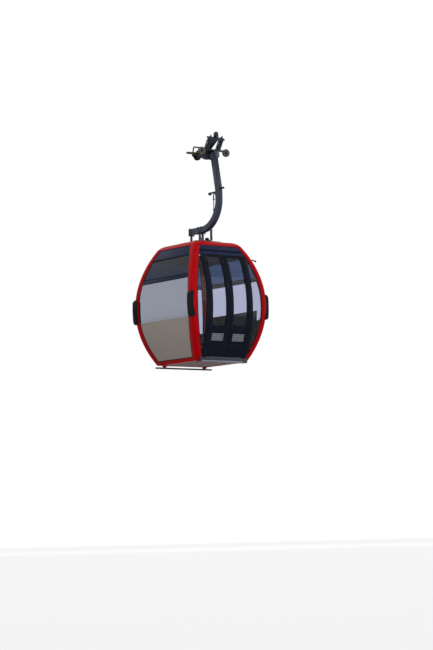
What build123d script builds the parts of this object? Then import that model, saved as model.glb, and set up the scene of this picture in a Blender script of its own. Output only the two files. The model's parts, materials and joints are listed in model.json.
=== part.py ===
from build123d import *

import os
from math import cos, radians, sin, sqrt, tan

# Gondola of a detachable ropeway: rope grip, bent hanger arm and barrel shaped cabin.
# Millimetres. The origin is the rope's centre in the jaws, X runs along the rope,
# the doors face -Y and Z is up.

# Rope grip
ROPE_RADIUS = 25.0
JAW_LENGTH = 240.0
JAW_REACH = 62.0
JAW_BOTTOM = -20.0
JAW_TOP = 75.0
JAW_SPLIT = 3.0
JAW_BLOCK_HEIGHT = 48.0
TONGUE_LENGTH = 260.0
TONGUE_WALL = 13.0
TONGUE_CLEARANCE = 1.0
HOUSING_OUTER_Y = -262.0
HOUSING_WALL = 37.0
HOUSING_BOTTOM = -75.0
HOUSING_FOOT_HEIGHT = 60.0
HOUSING_FOOT_WIDTH = 60.0
CHEEK_GAP = 8.0
CHEEK_LIP = 52.0
LEVER_WIDTH = 84.0
LEVER_GAP = 4.0
LEVER_PIN_Y = -118.0
LEVER_PIN_Z = 8.0
LEVER_PIN_RADIUS = 20.0
LEVER_HEEL_WIDTH = 60.0
LEVER_HEEL_DROP = 20.0
LEVER_BACK_WIDTH = 95.0
LEVER_CREST_WIDTH = 20.0
LEVER_CREST_RISE = 30.0
LEVER_HEAD_HALF = 34.0
SHELF_BOTTOM = 24.0
SHELF_THICKNESS = 24.0
SHELF_HALF = 206.0
SHELF_END_Y = -376.0

# Springs between the shelf and the lever's cross bar
SPRING_OFFSET = 134.0
SPRING_FOOT_Y = -306.0
SPRING_LEAN = 32.0
SPRING_LENGTH = 196.0
SPRING_RADIUS = 56.0
SPRING_CORE_RADIUS = 38.0
SPRING_WIRE = 17.0
SPRING_COILS = 6
SPRING_SEAT_THICKNESS = 12.0
BAR_HALF = 186.0
BAR_WIDTH = 92.0
BAR_THICKNESS = 32.0
EDGE_RADIUS = 6.0

# Wheels and rollers
RUNNING_SHAFT_CLEARANCE = 0.05
WHEEL_OFFSET = 292.0
WHEEL_Y = -352.0
WHEEL_Z = 4.0
WHEEL_RADIUS = 75.0
WHEEL_WIDTH = 52.0
WHEEL_HUB_RADIUS = 48.0
WHEEL_AXLE_RADIUS = 16.0
WHEEL_SIDE_GAP = 8.0
BEAM_THICKNESS = 20.0
AXLE_HEAD = 12.0
AXLE_HEAD_RADIUS = 26.0
AXLE_SHOULDER_RADIUS = 21.0
HUB_RIM = 8.0
DROP_PLATE_HALF = 32.0
GUIDE_WHEEL_Y = 192.0
GUIDE_WHEEL_RADIUS = 82.0
GUIDE_WHEEL_WIDTH = 44.0
GUIDE_HUB_RADIUS = 50.0
CARRIER_HALF = 46.0
CARRIER_THICKNESS = 22.0
BRIDGE_THICKNESS = 25.0
GUARD_THICKNESS = 12.0
GUARD_BAR = 22.0
GUARD_HEIGHT = 182.0
GUARD_HALF = 146.0
GUARD_TOP_HALF = 108.0
LEVER_ROLLER_RADIUS = 48.0
LEVER_ROLLER_WIDTH = 44.0
LEVER_ROLLER_RISE = 68.0
FORK_THICKNESS = 12.0
FORK_HALF = 29.0
FORK_GAP = 6.0

# Hanger
PIVOT_Z = -60.0
PIVOT_RADIUS = 35.0
PIVOT_CAP_RADIUS = 52.0
PIVOT_CAP_THICKNESS = 16.0
EYE_RADIUS = 74.0
EYE_LENGTH = 160.0
EYE_SIDE_GAP = 10.0
ARM_WIDTH = 100.0
ARM_DEPTH = 122.0
ARM_CORNER = 16.0
ARM_TOP_Z = -114.0
ARM_KNEE_Z = -760.0
ARM_Y = -480.0
ARM_RUN_Z = -1465.0
ARM_OVERHANG = 10.0
ARM_KNEE_RADIUS = 700.0
ARM_BEND_RADIUS = 550.0
PEG_RISE = 25.0
PEG_RADIUS = 16.0
PEG_LENGTH = 100.0
HOOK_DROP = 25.0
HOOK_LENGTH = 225.0
HOOK_THICKNESS = 24.0
HOOK_WEB = 12.0
HOOK_ROLLER_RADIUS = 28.0
ROD_RADIUS = 9.0
ROD_REACH = 112.0
ROD_FOOT_RISE = 215.0

# Cabin body: both pairs of sides are arcs of one radius, with a rounded shoulder to the roof
CABIN_Y = 205.0
CABIN_HALF_LENGTH = 892.0
CABIN_HALF_WIDTH = 963.0
BARREL_RADIUS = 2165.0
SHOULDER_RADIUS = 230.0
CABIN_HEIGHT = 2331.0
WIDEST_HEIGHT = 1093.0
TOP_FRAME_HEIGHT = 103.0
HEADER_HEIGHT = 202.0
VENT_HEIGHT = 385.0
VENT_BAR_HEIGHT = 55.0
SKIRT_HEIGHT = 62.0
FRAME_THICKNESS = 50.0
CORNER_RADIUS = 50.0
INNER_CORNER_RADIUS = 24.0
DOOR_POST_WIDTH = 115.0
END_POST_WIDTH = 145.0
DOOR_BAY_RADIUS = 2150.0
END_BAY_RADIUS = 2150.0
HEADER_INSET = 6.0
HEADER_THICKNESS = 24.0
BAR_INSET = 4.0
BAR_DEPTH = 30.0
GLASS_INSET = 10.0
GLASS_THICKNESS = 6.0
FLOOR_THICKNESS = 30.0
CEILING_THICKNESS = 20.0
ROOF_RIM_WIDTH = 129.0
ROOF_LAP = 48.0
ROOF_RISE = 30.0
ROOF_WALL = 12.0
ROOF_CORNER_RADIUS = 70.0
ROOF_EDGE_RADIUS = 20.0

# Doors
DOOR_SIDE_GAP = 470.0
JAMB_WIDTH = 110.0
JAMB_DEPTH = 40.0
DOOR_GAP = 4.0
LEAF_INSET = 6.0
LEAF_THICKNESS = 28.0
LEAF_OUTER_STILE = 30.0
LEAF_INNER_STILE = 96.0
LEAF_TOP_RAIL = 58.0
LEAF_GLASS_SILL = 600.0
LEAF_GLASS_CORNER = 30.0
LEAF_GLASS_INSET = 14.0
SEAL_INSET = 4.0
SEAL_DEPTH = 24.0
LOUVRE_SILL = 305.0
LOUVRE_HEIGHT = 150.0
LOUVRE_CORNER = 5.0
LOUVRE_COUNT = 4
LOUVRE_CHORD = 42.0
LOUVRE_THICKNESS = 5.0
LOUVRE_ANGLE = 35.0
TRACK_DROP = 90.0
TRACK_HEIGHT = 18.0
TRACK_DEPTH = 16.0
THRESHOLD_THICKNESS = 15.0
THRESHOLD_DEPTH = 70.0
SILL_HALF = 560.0
SILL_PROUD = 50.0
SILL_DROP = 18.0
SILL_INWARD = 70.0

# Far side guide rail and corner bumpers
RAIL_HALF = 670.0
RAIL_INWARD = 84.0
RAIL_SIZE = 30.0
RAIL_DROP = 34.0
RAIL_BRACKET_OFFSET = 480.0
RAIL_BRACKET_WIDTH = 40.0
RAIL_BRACKET_DEPTH = 90.0
BUMPER_DROP = 42.0
BUMPER_HALF_HEIGHT = 240.0
BUMPER_PROUD = 45.0
BUMPER_BULGE = 95.0
BUMPER_END_GAP = 8.0
BUMPER_WIDTH = 114.0
BUMPER_WRAP_DEPTH = 60.0

# Suspension between the arm and the roof
STIRRUP_Y = 120.0
STIRRUP_SPACING = 370.0
STIRRUP_HALF = 150.0
STIRRUP_LEG = 24.0
STIRRUP_WIDTH = 44.0
STIRRUP_BASE = 14.0
SUSPENSION_HEIGHT = 179.0
BUFFER_RADIUS = 40.0
BUFFER_HEIGHT = 44.0
DAMPER_TOP_Y = 110.0
DAMPER_FOOT_Y = 30.0
DAMPER_OFFSET = 66.0
DAMPER_RADIUS = 17.0
DAMPER_ROD_RADIUS = 8.0
DAMPER_EYE_RADIUS = 20.0
DAMPER_EYE_LENGTH = 30.0

# Benches
SEAT_HEIGHT = 466.0
SEAT_PAN_THICKNESS = 36.0
SEAT_DEPTH = 520.0
SEAT_SIDE_GAP = 243.0
PLINTH_SETBACK = 68.0
PLINTH_DEPTH = 120.0
PLINTH_SIDE_GAP = 331.0
BACK_INSET = 62.0
BACK_THICKNESS = 22.0
BACK_HEIGHT = 540.0
SHELL_COUNT = 4
SHELL_GAP = 14.0
SHELL_THICKNESS = 40.0
SHELL_CORNER = 30.0
SHELL_EDGE_RADIUS = 14.0
SHELL_MARGIN = 26.0
SHELL_DEPTH = 262.0

# Places that follow from the sizes above
ROOF_Z = ARM_RUN_Z - ARM_DEPTH / 2 - SUSPENSION_HEIGHT - ROOF_RISE
FLOOR_Z = ROOF_Z - CABIN_HEIGHT
BARREL_Z = FLOOR_Z + WIDEST_HEIGHT
SKIRT_Z = FLOOR_Z + SKIRT_HEIGHT
TOP_FRAME_Z = ROOF_Z - TOP_FRAME_HEIGHT
HEADER_Z = TOP_FRAME_Z - HEADER_HEIGHT
VENT_Z = HEADER_Z - VENT_HEIGHT
VENT_BAR_Z = VENT_Z - VENT_BAR_HEIGHT
SEAT_TOP_Z = FLOOR_Z + SEAT_HEIGHT
BACK_TOP_Z = SEAT_TOP_Z + BACK_HEIGHT
SEAT_HALF_WIDTH = CABIN_HALF_WIDTH - SEAT_SIDE_GAP
PLINTH_HALF_WIDTH = CABIN_HALF_WIDTH - PLINTH_SIDE_GAP
SEAT_FRONT = CABIN_HALF_LENGTH - SEAT_DEPTH
PLINTH_FRONT = SEAT_FRONT + PLINTH_SETBACK
SHELL_FRONT = SEAT_FRONT + SHELL_MARGIN
DOOR_HALF = CABIN_HALF_LENGTH - DOOR_SIDE_GAP
CROWN_RUN = sqrt((BARREL_RADIUS - SHOULDER_RADIUS) ** 2 - (ROOF_Z - SHOULDER_RADIUS - BARREL_Z) ** 2)
ROOF_OPENING_HALF_LENGTH = CABIN_HALF_LENGTH - BARREL_RADIUS + CROWN_RUN - ROOF_RIM_WIDTH
ROOF_OPENING_HALF_WIDTH = CABIN_HALF_WIDTH - BARREL_RADIUS + CROWN_RUN - ROOF_RIM_WIDTH
ARM_END_Y = STIRRUP_Y + STIRRUP_SPACING / 2 + STIRRUP_HALF + ARM_OVERHANG
PIVOT_Y = HOUSING_OUTER_Y - EYE_SIDE_GAP - EYE_LENGTH / 2
PEG_Z = ARM_KNEE_Z + PEG_RISE
HOOK_Z = ARM_KNEE_Z - HOOK_DROP

# Longer than the whole part, for cutting and limiting
BIG = 6000.0


def arc_mid(centre, radius, first, last):
    """Point on a circle halfway between two of its points, on the shorter arc."""
    u = (first[0] + last[0]) / 2 - centre[0]
    v = (first[1] + last[1]) / 2 - centre[1]
    length = sqrt(u * u + v * v)
    return (centre[0] + u / length * radius, centre[1] + v / length * radius)


def side_at(half, radius, z):
    """Half width of an arc side at height z."""
    return half - radius + sqrt(radius**2 - (z - BARREL_Z) ** 2)


def barrel_prism(half, inset, plane):
    """Prism through the whole cabin whose section is the barrel outline moved in by inset."""
    main = (half - BARREL_RADIUS, BARREL_Z)
    reach = BARREL_RADIUS - SHOULDER_RADIUS
    rise = ROOF_Z - SHOULDER_RADIUS - BARREL_Z
    shoulder = (main[0] + sqrt(reach**2 - rise**2), ROOF_Z - SHOULDER_RADIUS)
    side, turn = BARREL_RADIUS - inset, SHOULDER_RADIUS - inset
    joint = (
        main[0] + (shoulder[0] - main[0]) / reach * side,
        main[1] + rise / reach * side,
    )
    foot = (side_at(half - inset, side, FLOOR_Z), FLOOR_Z)
    crown = (shoulder[0], shoulder[1] + turn)
    side_mid = arc_mid(main, side, foot, joint)
    turn_mid = arc_mid(shoulder, turn, joint, crown)

    def mirrored(point):
        """The same point on the other side of the middle."""
        return (-point[0], point[1])

    outline = [
        ThreePointArc(foot, side_mid, joint),
        ThreePointArc(joint, turn_mid, crown),
        Line(crown, mirrored(crown)),
        ThreePointArc(mirrored(crown), mirrored(turn_mid), mirrored(joint)),
        ThreePointArc(mirrored(joint), mirrored(side_mid), mirrored(foot)),
        Line(mirrored(foot), foot),
    ]
    return extrude(plane * make_face(outline), amount=BIG / 2, both=True)


PLANE_X = Plane(origin=(0, CABIN_Y, 0), x_dir=(1, 0, 0), z_dir=(0, -1, 0))
PLANE_Y = Plane(origin=(0, CABIN_Y, 0), x_dir=(0, 1, 0), z_dir=(1, 0, 0))


def barrel(inset, corner=0.0):
    """Closed barrel form of the cabin, moved in by inset, with rounded corner edges."""
    form = barrel_prism(CABIN_HALF_LENGTH, inset, PLANE_X) & barrel_prism(CABIN_HALF_WIDTH, inset, PLANE_Y)
    if corner:
        edges = [
            e
            for e in form.edges()
            if abs((e @ 0.5).X) > SHOULDER_RADIUS / 2 and abs((e @ 0.5).Y - CABIN_Y) > SHOULDER_RADIUS / 2
        ]
        form = fillet(edges, corner)
    return form


def bay_prism(half, post_width, radius, plane):
    """Prism of the bay between two corner posts, narrower than the barrel by the posts."""
    inner = half - post_width
    centre = (inner - radius, BARREL_Z)
    low = (side_at(inner, radius, FLOOR_Z), FLOOR_Z)
    high = (side_at(inner, radius, TOP_FRAME_Z), TOP_FRAME_Z)
    mid = arc_mid(centre, radius, low, high)
    outline = [
        ThreePointArc(low, mid, high),
        Line(high, (-high[0], high[1])),
        ThreePointArc((-high[0], high[1]), (-mid[0], mid[1]), (-low[0], low[1])),
        Line((-low[0], low[1]), low),
    ]
    return extrude(plane * make_face(outline), amount=BIG / 2, both=True)


def between(x=(-BIG, BIG), y=(-BIG, BIG), z=(-BIG, BIG)):
    """Box from low and high limits; an axis left out is not limited."""
    size = (x[1] - x[0], y[1] - y[0], z[1] - z[0])
    centre = ((x[0] + x[1]) / 2, (y[0] + y[1]) / 2, (z[0] + z[1]) / 2)
    return Pos(*centre) * Box(*size)


def rod_y(radius, y_low, y_high, x=0.0, z=0.0):
    """Round bar along Y."""
    return Pos(x, (y_low + y_high) / 2, z) * Rot(90, 0, 0) * Cylinder(radius, y_high - y_low)


def rod_x(radius, x_low, x_high, y=0.0, z=0.0):
    """Round bar along X."""
    return Pos((x_low + x_high) / 2, y, z) * Rot(0, 90, 0) * Cylinder(radius, x_high - x_low)


def plate_yz(points, x_low, x_high):
    """Plate with a straight sided outline in Y and Z."""
    face = Plane.YZ.offset(x_low) * make_face(Polyline(*points, close=True))
    return extrude(face, amount=x_high - x_low)


def both_sides(make):
    """The same piece at both ends of the rope direction."""
    return [make(-1), make(1)]


def end_range(side, near, far):
    """Limits along X on one side of the cabin's middle."""
    return (near, far) if side > 0 else (-far, -near)


def group(*parts):
    """Loose solids of one node."""
    solids = []
    for part in parts:
        solids += part if isinstance(part, list) else list(part.solids())
    flat = []
    for solid in solids:
        flat += list(solid.solids())
    return Compound(children=flat)


NODES = {}

# Shared cabin forms
OUTER = barrel(0.0, CORNER_RADIUS)
INNER = barrel(FRAME_THICKNESS, INNER_CORNER_RADIUS)
FRAME_SHELL = OUTER - INNER
DOOR_BAY = bay_prism(CABIN_HALF_LENGTH, DOOR_POST_WIDTH, DOOR_BAY_RADIUS, PLANE_X)
END_BAY = bay_prism(CABIN_HALF_WIDTH, END_POST_WIDTH, END_BAY_RADIUS, PLANE_Y)
NEAR = between(y=(-BIG, CABIN_Y))
FAR = between(y=(CABIN_Y, BIG))


def layer(inset, thickness):
    """Curved sheet of the barrel form."""
    return barrel(inset) - barrel(inset + thickness)


# Cabin frame
NODES["top_frame"] = (FRAME_SHELL & between(z=(TOP_FRAME_Z, ROOF_Z))) - between(
    (-ROOF_OPENING_HALF_LENGTH, ROOF_OPENING_HALF_LENGTH),
    (CABIN_Y - ROOF_OPENING_HALF_WIDTH, CABIN_Y + ROOF_OPENING_HALF_WIDTH),
)
NODES["corner_posts"] = (FRAME_SHELL & between(z=(SKIRT_Z, TOP_FRAME_Z))) - DOOR_BAY - END_BAY
NODES["lower_frame"] = FRAME_SHELL & between(z=(FLOOR_Z, SKIRT_Z))
NODES["floor_pan"] = INNER & between(z=(FLOOR_Z, FLOOR_Z + FLOOR_THICKNESS))
NODES["ceiling"] = INNER & between(
    z=(ROOF_Z - FRAME_THICKNESS - CEILING_THICKNESS, ROOF_Z - FRAME_THICKNESS)
)

# Roof pan over the opening of the top frame
pan_half_x = ROOF_OPENING_HALF_LENGTH + ROOF_LAP
pan_half_y = ROOF_OPENING_HALF_WIDTH + ROOF_LAP
pan = between(
    (-pan_half_x, pan_half_x),
    (CABIN_Y - pan_half_y, CABIN_Y + pan_half_y),
    (ROOF_Z, ROOF_Z + ROOF_RISE),
)
pan = fillet(pan.edges().filter_by(Axis.Z), ROOF_CORNER_RADIUS)
pan = fillet(pan.faces().sort_by(Axis.Z)[-1].edges(), ROOF_EDGE_RADIUS)
NODES["roof_pan"] = pan - between(
    (-ROOF_OPENING_HALF_LENGTH, ROOF_OPENING_HALF_LENGTH),
    (CABIN_Y - ROOF_OPENING_HALF_WIDTH, CABIN_Y + ROOF_OPENING_HALF_WIDTH),
    (ROOF_Z, ROOF_Z + ROOF_RISE - ROOF_WALL),
)

# Headers, bars and panes between the posts
header = layer(HEADER_INSET, HEADER_THICKNESS) & between(z=(HEADER_Z, TOP_FRAME_Z))
NODES["end_headers"] = header & END_BAY
NODES["side_headers"] = header & DOOR_BAY
bar = layer(BAR_INSET, BAR_DEPTH) & between(z=(VENT_BAR_Z, VENT_Z))
NODES["window_bars"] = group(bar & END_BAY, bar & DOOR_BAY & FAR)
glass = layer(GLASS_INSET, GLASS_THICKNESS)
vent_glass = glass & between(z=(VENT_Z, HEADER_Z))
NODES["vent_panes"] = group(vent_glass & END_BAY, vent_glass & DOOR_BAY & FAR)
main_glass = glass & between(z=(SKIRT_Z, VENT_BAR_Z))
NODES["main_panes"] = group(main_glass & END_BAY, main_glass & DOOR_BAY & FAR)

# Door side: jambs, narrow fixed panes, two leaves, seal, track, threshold and sill
jamb_outer = DOOR_HALF + JAMB_WIDTH
near_bay = DOOR_BAY & NEAR & between(z=(SKIRT_Z, HEADER_Z))
jamb_sheet = layer(BAR_INSET, JAMB_DEPTH) & near_bay
NODES["door_jambs"] = group(
    jamb_sheet & between(x=(-jamb_outer, -DOOR_HALF)),
    jamb_sheet & between(x=(DOOR_HALF, jamb_outer)),
)
side_glass = glass & near_bay
NODES["side_panes"] = group(
    side_glass & between(x=(-CABIN_HALF_LENGTH, -jamb_outer)),
    side_glass & between(x=(jamb_outer, CABIN_HALF_LENGTH)),
)
door_bottom = SKIRT_Z + THRESHOLD_THICKNESS
leaf_sheet = layer(LEAF_INSET, LEAF_THICKNESS) & NEAR & between(z=(door_bottom, HEADER_Z))
glass_low, glass_high = SKIRT_Z + LEAF_GLASS_SILL, HEADER_Z - LEAF_TOP_RAIL
louvre_low = SKIRT_Z + LOUVRE_SILL
louvre_high = louvre_low + LOUVRE_HEIGHT
opening_low = DOOR_GAP + LEAF_INNER_STILE
opening_high = DOOR_HALF - LEAF_OUTER_STILE


def leaf_opening(side, z_low, z_high, corner):
    """Rounded opening through one leaf."""
    middle = side * (opening_low + opening_high) / 2
    outline = RectangleRounded(opening_high - opening_low, z_high - z_low, corner)
    at = Plane(origin=(middle, 0, (z_low + z_high) / 2), x_dir=(1, 0, 0), z_dir=(0, -1, 0))
    return extrude(at * outline, amount=BIG / 2, both=True) & NEAR


def door_leaf(side):
    """One leaf with its window and its louvre opening."""
    leaf = leaf_sheet & between(x=end_range(side, DOOR_GAP, DOOR_HALF))
    leaf -= leaf_opening(side, glass_low, glass_high, LEAF_GLASS_CORNER)
    return leaf - leaf_opening(side, louvre_low, louvre_high, LOUVRE_CORNER)


leaf_glass = layer(LEAF_GLASS_INSET, GLASS_THICKNESS) & NEAR


def louvres(side):
    """Tilted slats across the lower opening of one leaf."""
    pitch = LOUVRE_HEIGHT / LOUVRE_COUNT
    middle = side * (opening_low + opening_high) / 2
    slats = []
    for n in range(LOUVRE_COUNT):
        z = louvre_low + pitch * (n + 0.5)
        y = CABIN_Y - side_at(CABIN_HALF_WIDTH, BARREL_RADIUS, z) + LEAF_INSET + LEAF_THICKNESS / 2
        slat = Box(opening_high - opening_low, LOUVRE_CHORD, LOUVRE_THICKNESS)
        slats.append(Pos(middle, y, z) * Rot(-LOUVRE_ANGLE, 0, 0) * slat)
    return slats


NODES["door_leaves"] = group(both_sides(door_leaf))
NODES["door_glass"] = group(
    both_sides(lambda side: leaf_glass & leaf_opening(side, glass_low, glass_high, LEAF_GLASS_CORNER))
)
NODES["door_louvres"] = group(louvres(-1), louvres(1))
seal_sheet = layer(SEAL_INSET, SEAL_DEPTH) & NEAR & between(z=(door_bottom, HEADER_Z))
NODES["door_seal"] = seal_sheet & between(x=(-DOOR_GAP, DOOR_GAP))
track_top = TOP_FRAME_Z - TRACK_DROP
track_sheet = barrel(HEADER_INSET - TRACK_DEPTH) - barrel(HEADER_INSET)
NODES["door_track"] = (
    track_sheet & NEAR & DOOR_BAY & between(z=(track_top - TRACK_HEIGHT, track_top))
)
threshold_sheet = OUTER - barrel(THRESHOLD_DEPTH)
NODES["threshold"] = (
    threshold_sheet & NEAR & between((-DOOR_HALF, DOOR_HALF), z=(SKIRT_Z, door_bottom))
)
floor_half_y = side_at(CABIN_HALF_WIDTH, BARREL_RADIUS, FLOOR_Z)
NODES["door_sill"] = (
    between(
        (-SILL_HALF, SILL_HALF),
        (CABIN_Y - floor_half_y - SILL_PROUD, CABIN_Y - floor_half_y + SILL_INWARD),
        (FLOOR_Z - SILL_DROP, SKIRT_Z),
    )
    - OUTER
    - between(y=(CABIN_Y - floor_half_y, BIG), z=(FLOOR_Z, BIG))
)

# Far side guide rail on two brackets
rail_y = CABIN_Y + floor_half_y - RAIL_INWARD
rail_top = FLOOR_Z - RAIL_DROP
rail = between(
    (-RAIL_HALF, RAIL_HALF),
    (rail_y - RAIL_SIZE / 2, rail_y + RAIL_SIZE / 2),
    (rail_top - RAIL_SIZE, rail_top),
)
NODES["guide_rail"] = fillet(rail.edges().filter_by(Axis.X), RAIL_SIZE / 4)
NODES["rail_brackets"] = group(
    both_sides(
        lambda side: between(
            (
                side * RAIL_BRACKET_OFFSET - RAIL_BRACKET_WIDTH / 2,
                side * RAIL_BRACKET_OFFSET + RAIL_BRACKET_WIDTH / 2,
            ),
            (rail_y + RAIL_SIZE / 2 - RAIL_BRACKET_DEPTH, rail_y + RAIL_SIZE / 2),
            (rail_top, FLOOR_Z),
        )
    )
)

# Corner bumpers on the end faces: bulged blocks, cut level with an offset of the barrel
bumper_z = BARREL_Z - BUMPER_DROP
bumper_radius = (BUMPER_HALF_HEIGHT**2 + BUMPER_BULGE**2) / (2 * BUMPER_BULGE)
bumper_outer = CABIN_HALF_WIDTH - BUMPER_END_GAP
bumper_form = barrel_prism(CABIN_HALF_LENGTH, -BUMPER_PROUD, PLANE_X)


def bumper(side_x, side_y):
    """Bulged block over one corner post."""
    x = side_x * (CABIN_HALF_LENGTH + BUMPER_BULGE - bumper_radius)
    low, high = sorted((side_y * (bumper_outer - BUMPER_WIDTH), side_y * bumper_outer))
    disc = rod_y(bumper_radius, CABIN_Y + low, CABIN_Y + high, x, bumper_z)
    tall = (bumper_z - BUMPER_HALF_HEIGHT, bumper_z + BUMPER_HALF_HEIGHT)
    wrap = end_range(side_x, CABIN_HALF_LENGTH - BUMPER_WRAP_DEPTH, BIG)
    return (disc & bumper_form & between(x=wrap, z=tall)) - OUTER


NODES["bumpers"] = group([bumper(sx, sy) for sx in (-1, 1) for sy in (-1, 1)])

# Benches at both ends
seat_low = SEAT_TOP_Z - SEAT_PAN_THICKNESS


def bench(side):
    """Seat pan on its plinth at one end."""
    seat = INNER & between(
        end_range(side, SEAT_FRONT, CABIN_HALF_LENGTH),
        (CABIN_Y - SEAT_HALF_WIDTH, CABIN_Y + SEAT_HALF_WIDTH),
        (seat_low, SEAT_TOP_Z),
    )
    plinth = INNER & between(
        end_range(side, PLINTH_FRONT, PLINTH_FRONT + PLINTH_DEPTH),
        (CABIN_Y - PLINTH_HALF_WIDTH, CABIN_Y + PLINTH_HALF_WIDTH),
        (FLOOR_Z + FLOOR_THICKNESS, seat_low),
    )
    return seat + plinth


back_sheet = layer(BACK_INSET, BACK_THICKNESS)
shell_sheet = layer(BACK_INSET + BACK_THICKNESS, SHELL_THICKNESS)


def seat_back(side):
    """Curved board behind one bench."""
    return back_sheet & between(
        end_range(side, SEAT_FRONT, CABIN_HALF_LENGTH),
        (CABIN_Y - SEAT_HALF_WIDTH, CABIN_Y + SEAT_HALF_WIDTH),
        (SEAT_TOP_Z, BACK_TOP_Z),
    )


shell_pitch = 2 * SEAT_HALF_WIDTH / SHELL_COUNT


def shell_limits(n):
    """Limits of one person's place along Y."""
    low = CABIN_Y - SEAT_HALF_WIDTH + shell_pitch * n
    return (low + SHELL_GAP / 2, low + shell_pitch - SHELL_GAP / 2)


def seat_shells(side):
    """Moulded seats of one bench."""
    shells = []
    for n in range(SHELL_COUNT):
        x = end_range(side, SHELL_FRONT, SHELL_FRONT + SHELL_DEPTH)
        shell = between(x, shell_limits(n), (SEAT_TOP_Z, SEAT_TOP_Z + SHELL_THICKNESS))
        shell = fillet(shell.edges().filter_by(Axis.Z), SHELL_CORNER)
        shells.append(fillet(shell.faces().sort_by(Axis.Z)[-1].edges(), SHELL_EDGE_RADIUS))
    return shells


def back_shells(side):
    """Moulded backs above one bench."""
    x = end_range(side, SEAT_FRONT, CABIN_HALF_LENGTH)
    z = (SEAT_TOP_Z + SHELL_THICKNESS + SHELL_MARGIN, BACK_TOP_Z - SHELL_MARGIN)
    return [shell_sheet & between(x, shell_limits(n), z) for n in range(SHELL_COUNT)]


NODES["benches"] = group(both_sides(bench))
NODES["seat_backs"] = group(both_sides(seat_back))
NODES["seat_shells"] = group(seat_shells(-1), seat_shells(1))
NODES["back_shells"] = group(back_shells(-1), back_shells(1))

# Hanger arm: an eye on the pivot pin, a straight leg, a wide bend and a level run over the roof
path = Plane.YZ * FilletPolyline(
    (PIVOT_Y + (ARM_Y - PIVOT_Y) * (ARM_TOP_Z - PIVOT_Z) / (ARM_KNEE_Z - PIVOT_Z), ARM_TOP_Z),
    (ARM_Y, ARM_KNEE_Z),
    (ARM_Y, ARM_RUN_Z),
    (ARM_END_Y, ARM_RUN_Z),
    radius=[ARM_KNEE_RADIUS, ARM_BEND_RADIUS],
)
start = Plane(origin=path @ 0, x_dir=(1, 0, 0), z_dir=path % 0)
arm = sweep(start * RectangleRounded(ARM_WIDTH, ARM_DEPTH, ARM_CORNER), path=path)
eye_low, eye_high = PIVOT_Y - EYE_LENGTH / 2, PIVOT_Y + EYE_LENGTH / 2
arm += rod_y(EYE_RADIUS, eye_low, eye_high, z=PIVOT_Z)
arm -= rod_y(PIVOT_RADIUS + RUNNING_SHAFT_CLEARANCE, eye_low, eye_high, z=PIVOT_Z)
NODES["hanger_arm"] = arm

leg_slope = (ARM_Y - PIVOT_Y) / (ARM_KNEE_Z - PIVOT_Z)
peg_y = ARM_Y - leg_slope * (ARM_KNEE_Z - PEG_Z)
NODES["hanger_peg"] = (
    rod_y(PEG_RADIUS, peg_y - ARM_DEPTH / 2 - PEG_LENGTH, peg_y, z=PEG_Z) - arm
)
hook_face = ARM_Y + ARM_DEPTH / 2
hook = between(
    (-HOOK_THICKNESS, HOOK_THICKNESS),
    (hook_face, hook_face + HOOK_LENGTH),
    (HOOK_Z - HOOK_THICKNESS / 2, HOOK_Z + HOOK_THICKNESS / 2),
)
web = plate_yz(
    [
        (hook_face, HOOK_Z),
        (hook_face + HOOK_LENGTH / 2, HOOK_Z),
        (hook_face, HOOK_Z - HOOK_LENGTH / 2),
    ],
    -HOOK_WEB / 2,
    HOOK_WEB / 2,
)
hook += web + rod_x(
    HOOK_ROLLER_RADIUS,
    -HOOK_THICKNESS,
    HOOK_THICKNESS,
    hook_face + HOOK_LENGTH,
    HOOK_Z - HOOK_THICKNESS / 2,
)
hook -= arm
NODES["door_lever"] = hook
rod_bottom = ARM_RUN_Z + ROD_FOOT_RISE
rod = Cylinder(ROD_RADIUS, HOOK_Z - rod_bottom)
rod = Pos(0, hook_face + ROD_REACH, (HOOK_Z + rod_bottom) / 2) * rod - arm - hook
NODES["door_rod"] = max(rod.solids(), key=lambda solid: solid.center().Z)

# Suspension stirrups and rubber buffers on the roof
pan_top = ROOF_Z + ROOF_RISE
run_low = ARM_RUN_Z - ARM_DEPTH / 2


def stirrup(y):
    """Open frame that carries the roof, with both legs up to the arm's underside."""
    frame = between(
        (-STIRRUP_WIDTH / 2, STIRRUP_WIDTH / 2), (y - STIRRUP_HALF, y + STIRRUP_HALF), (pan_top, ARM_RUN_Z)
    )
    inner = STIRRUP_HALF - STIRRUP_LEG
    frame -= between(y=(y - inner, y + inner), z=(pan_top + STIRRUP_BASE, BIG))
    return max((frame - arm).solids(), key=lambda solid: solid.volume)


def buffer(y):
    """Rubber block inside one stirrup."""
    low = pan_top + STIRRUP_BASE
    return Pos(0, y, low + BUFFER_HEIGHT / 2) * Cylinder(BUFFER_RADIUS, BUFFER_HEIGHT)


stirrup_places = [STIRRUP_Y - STIRRUP_SPACING / 2, STIRRUP_Y + STIRRUP_SPACING / 2]
NODES["suspension_stirrups"] = group([stirrup(y) for y in stirrup_places])
NODES["rubber_buffers"] = group([buffer(y) for y in stirrup_places])

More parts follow.
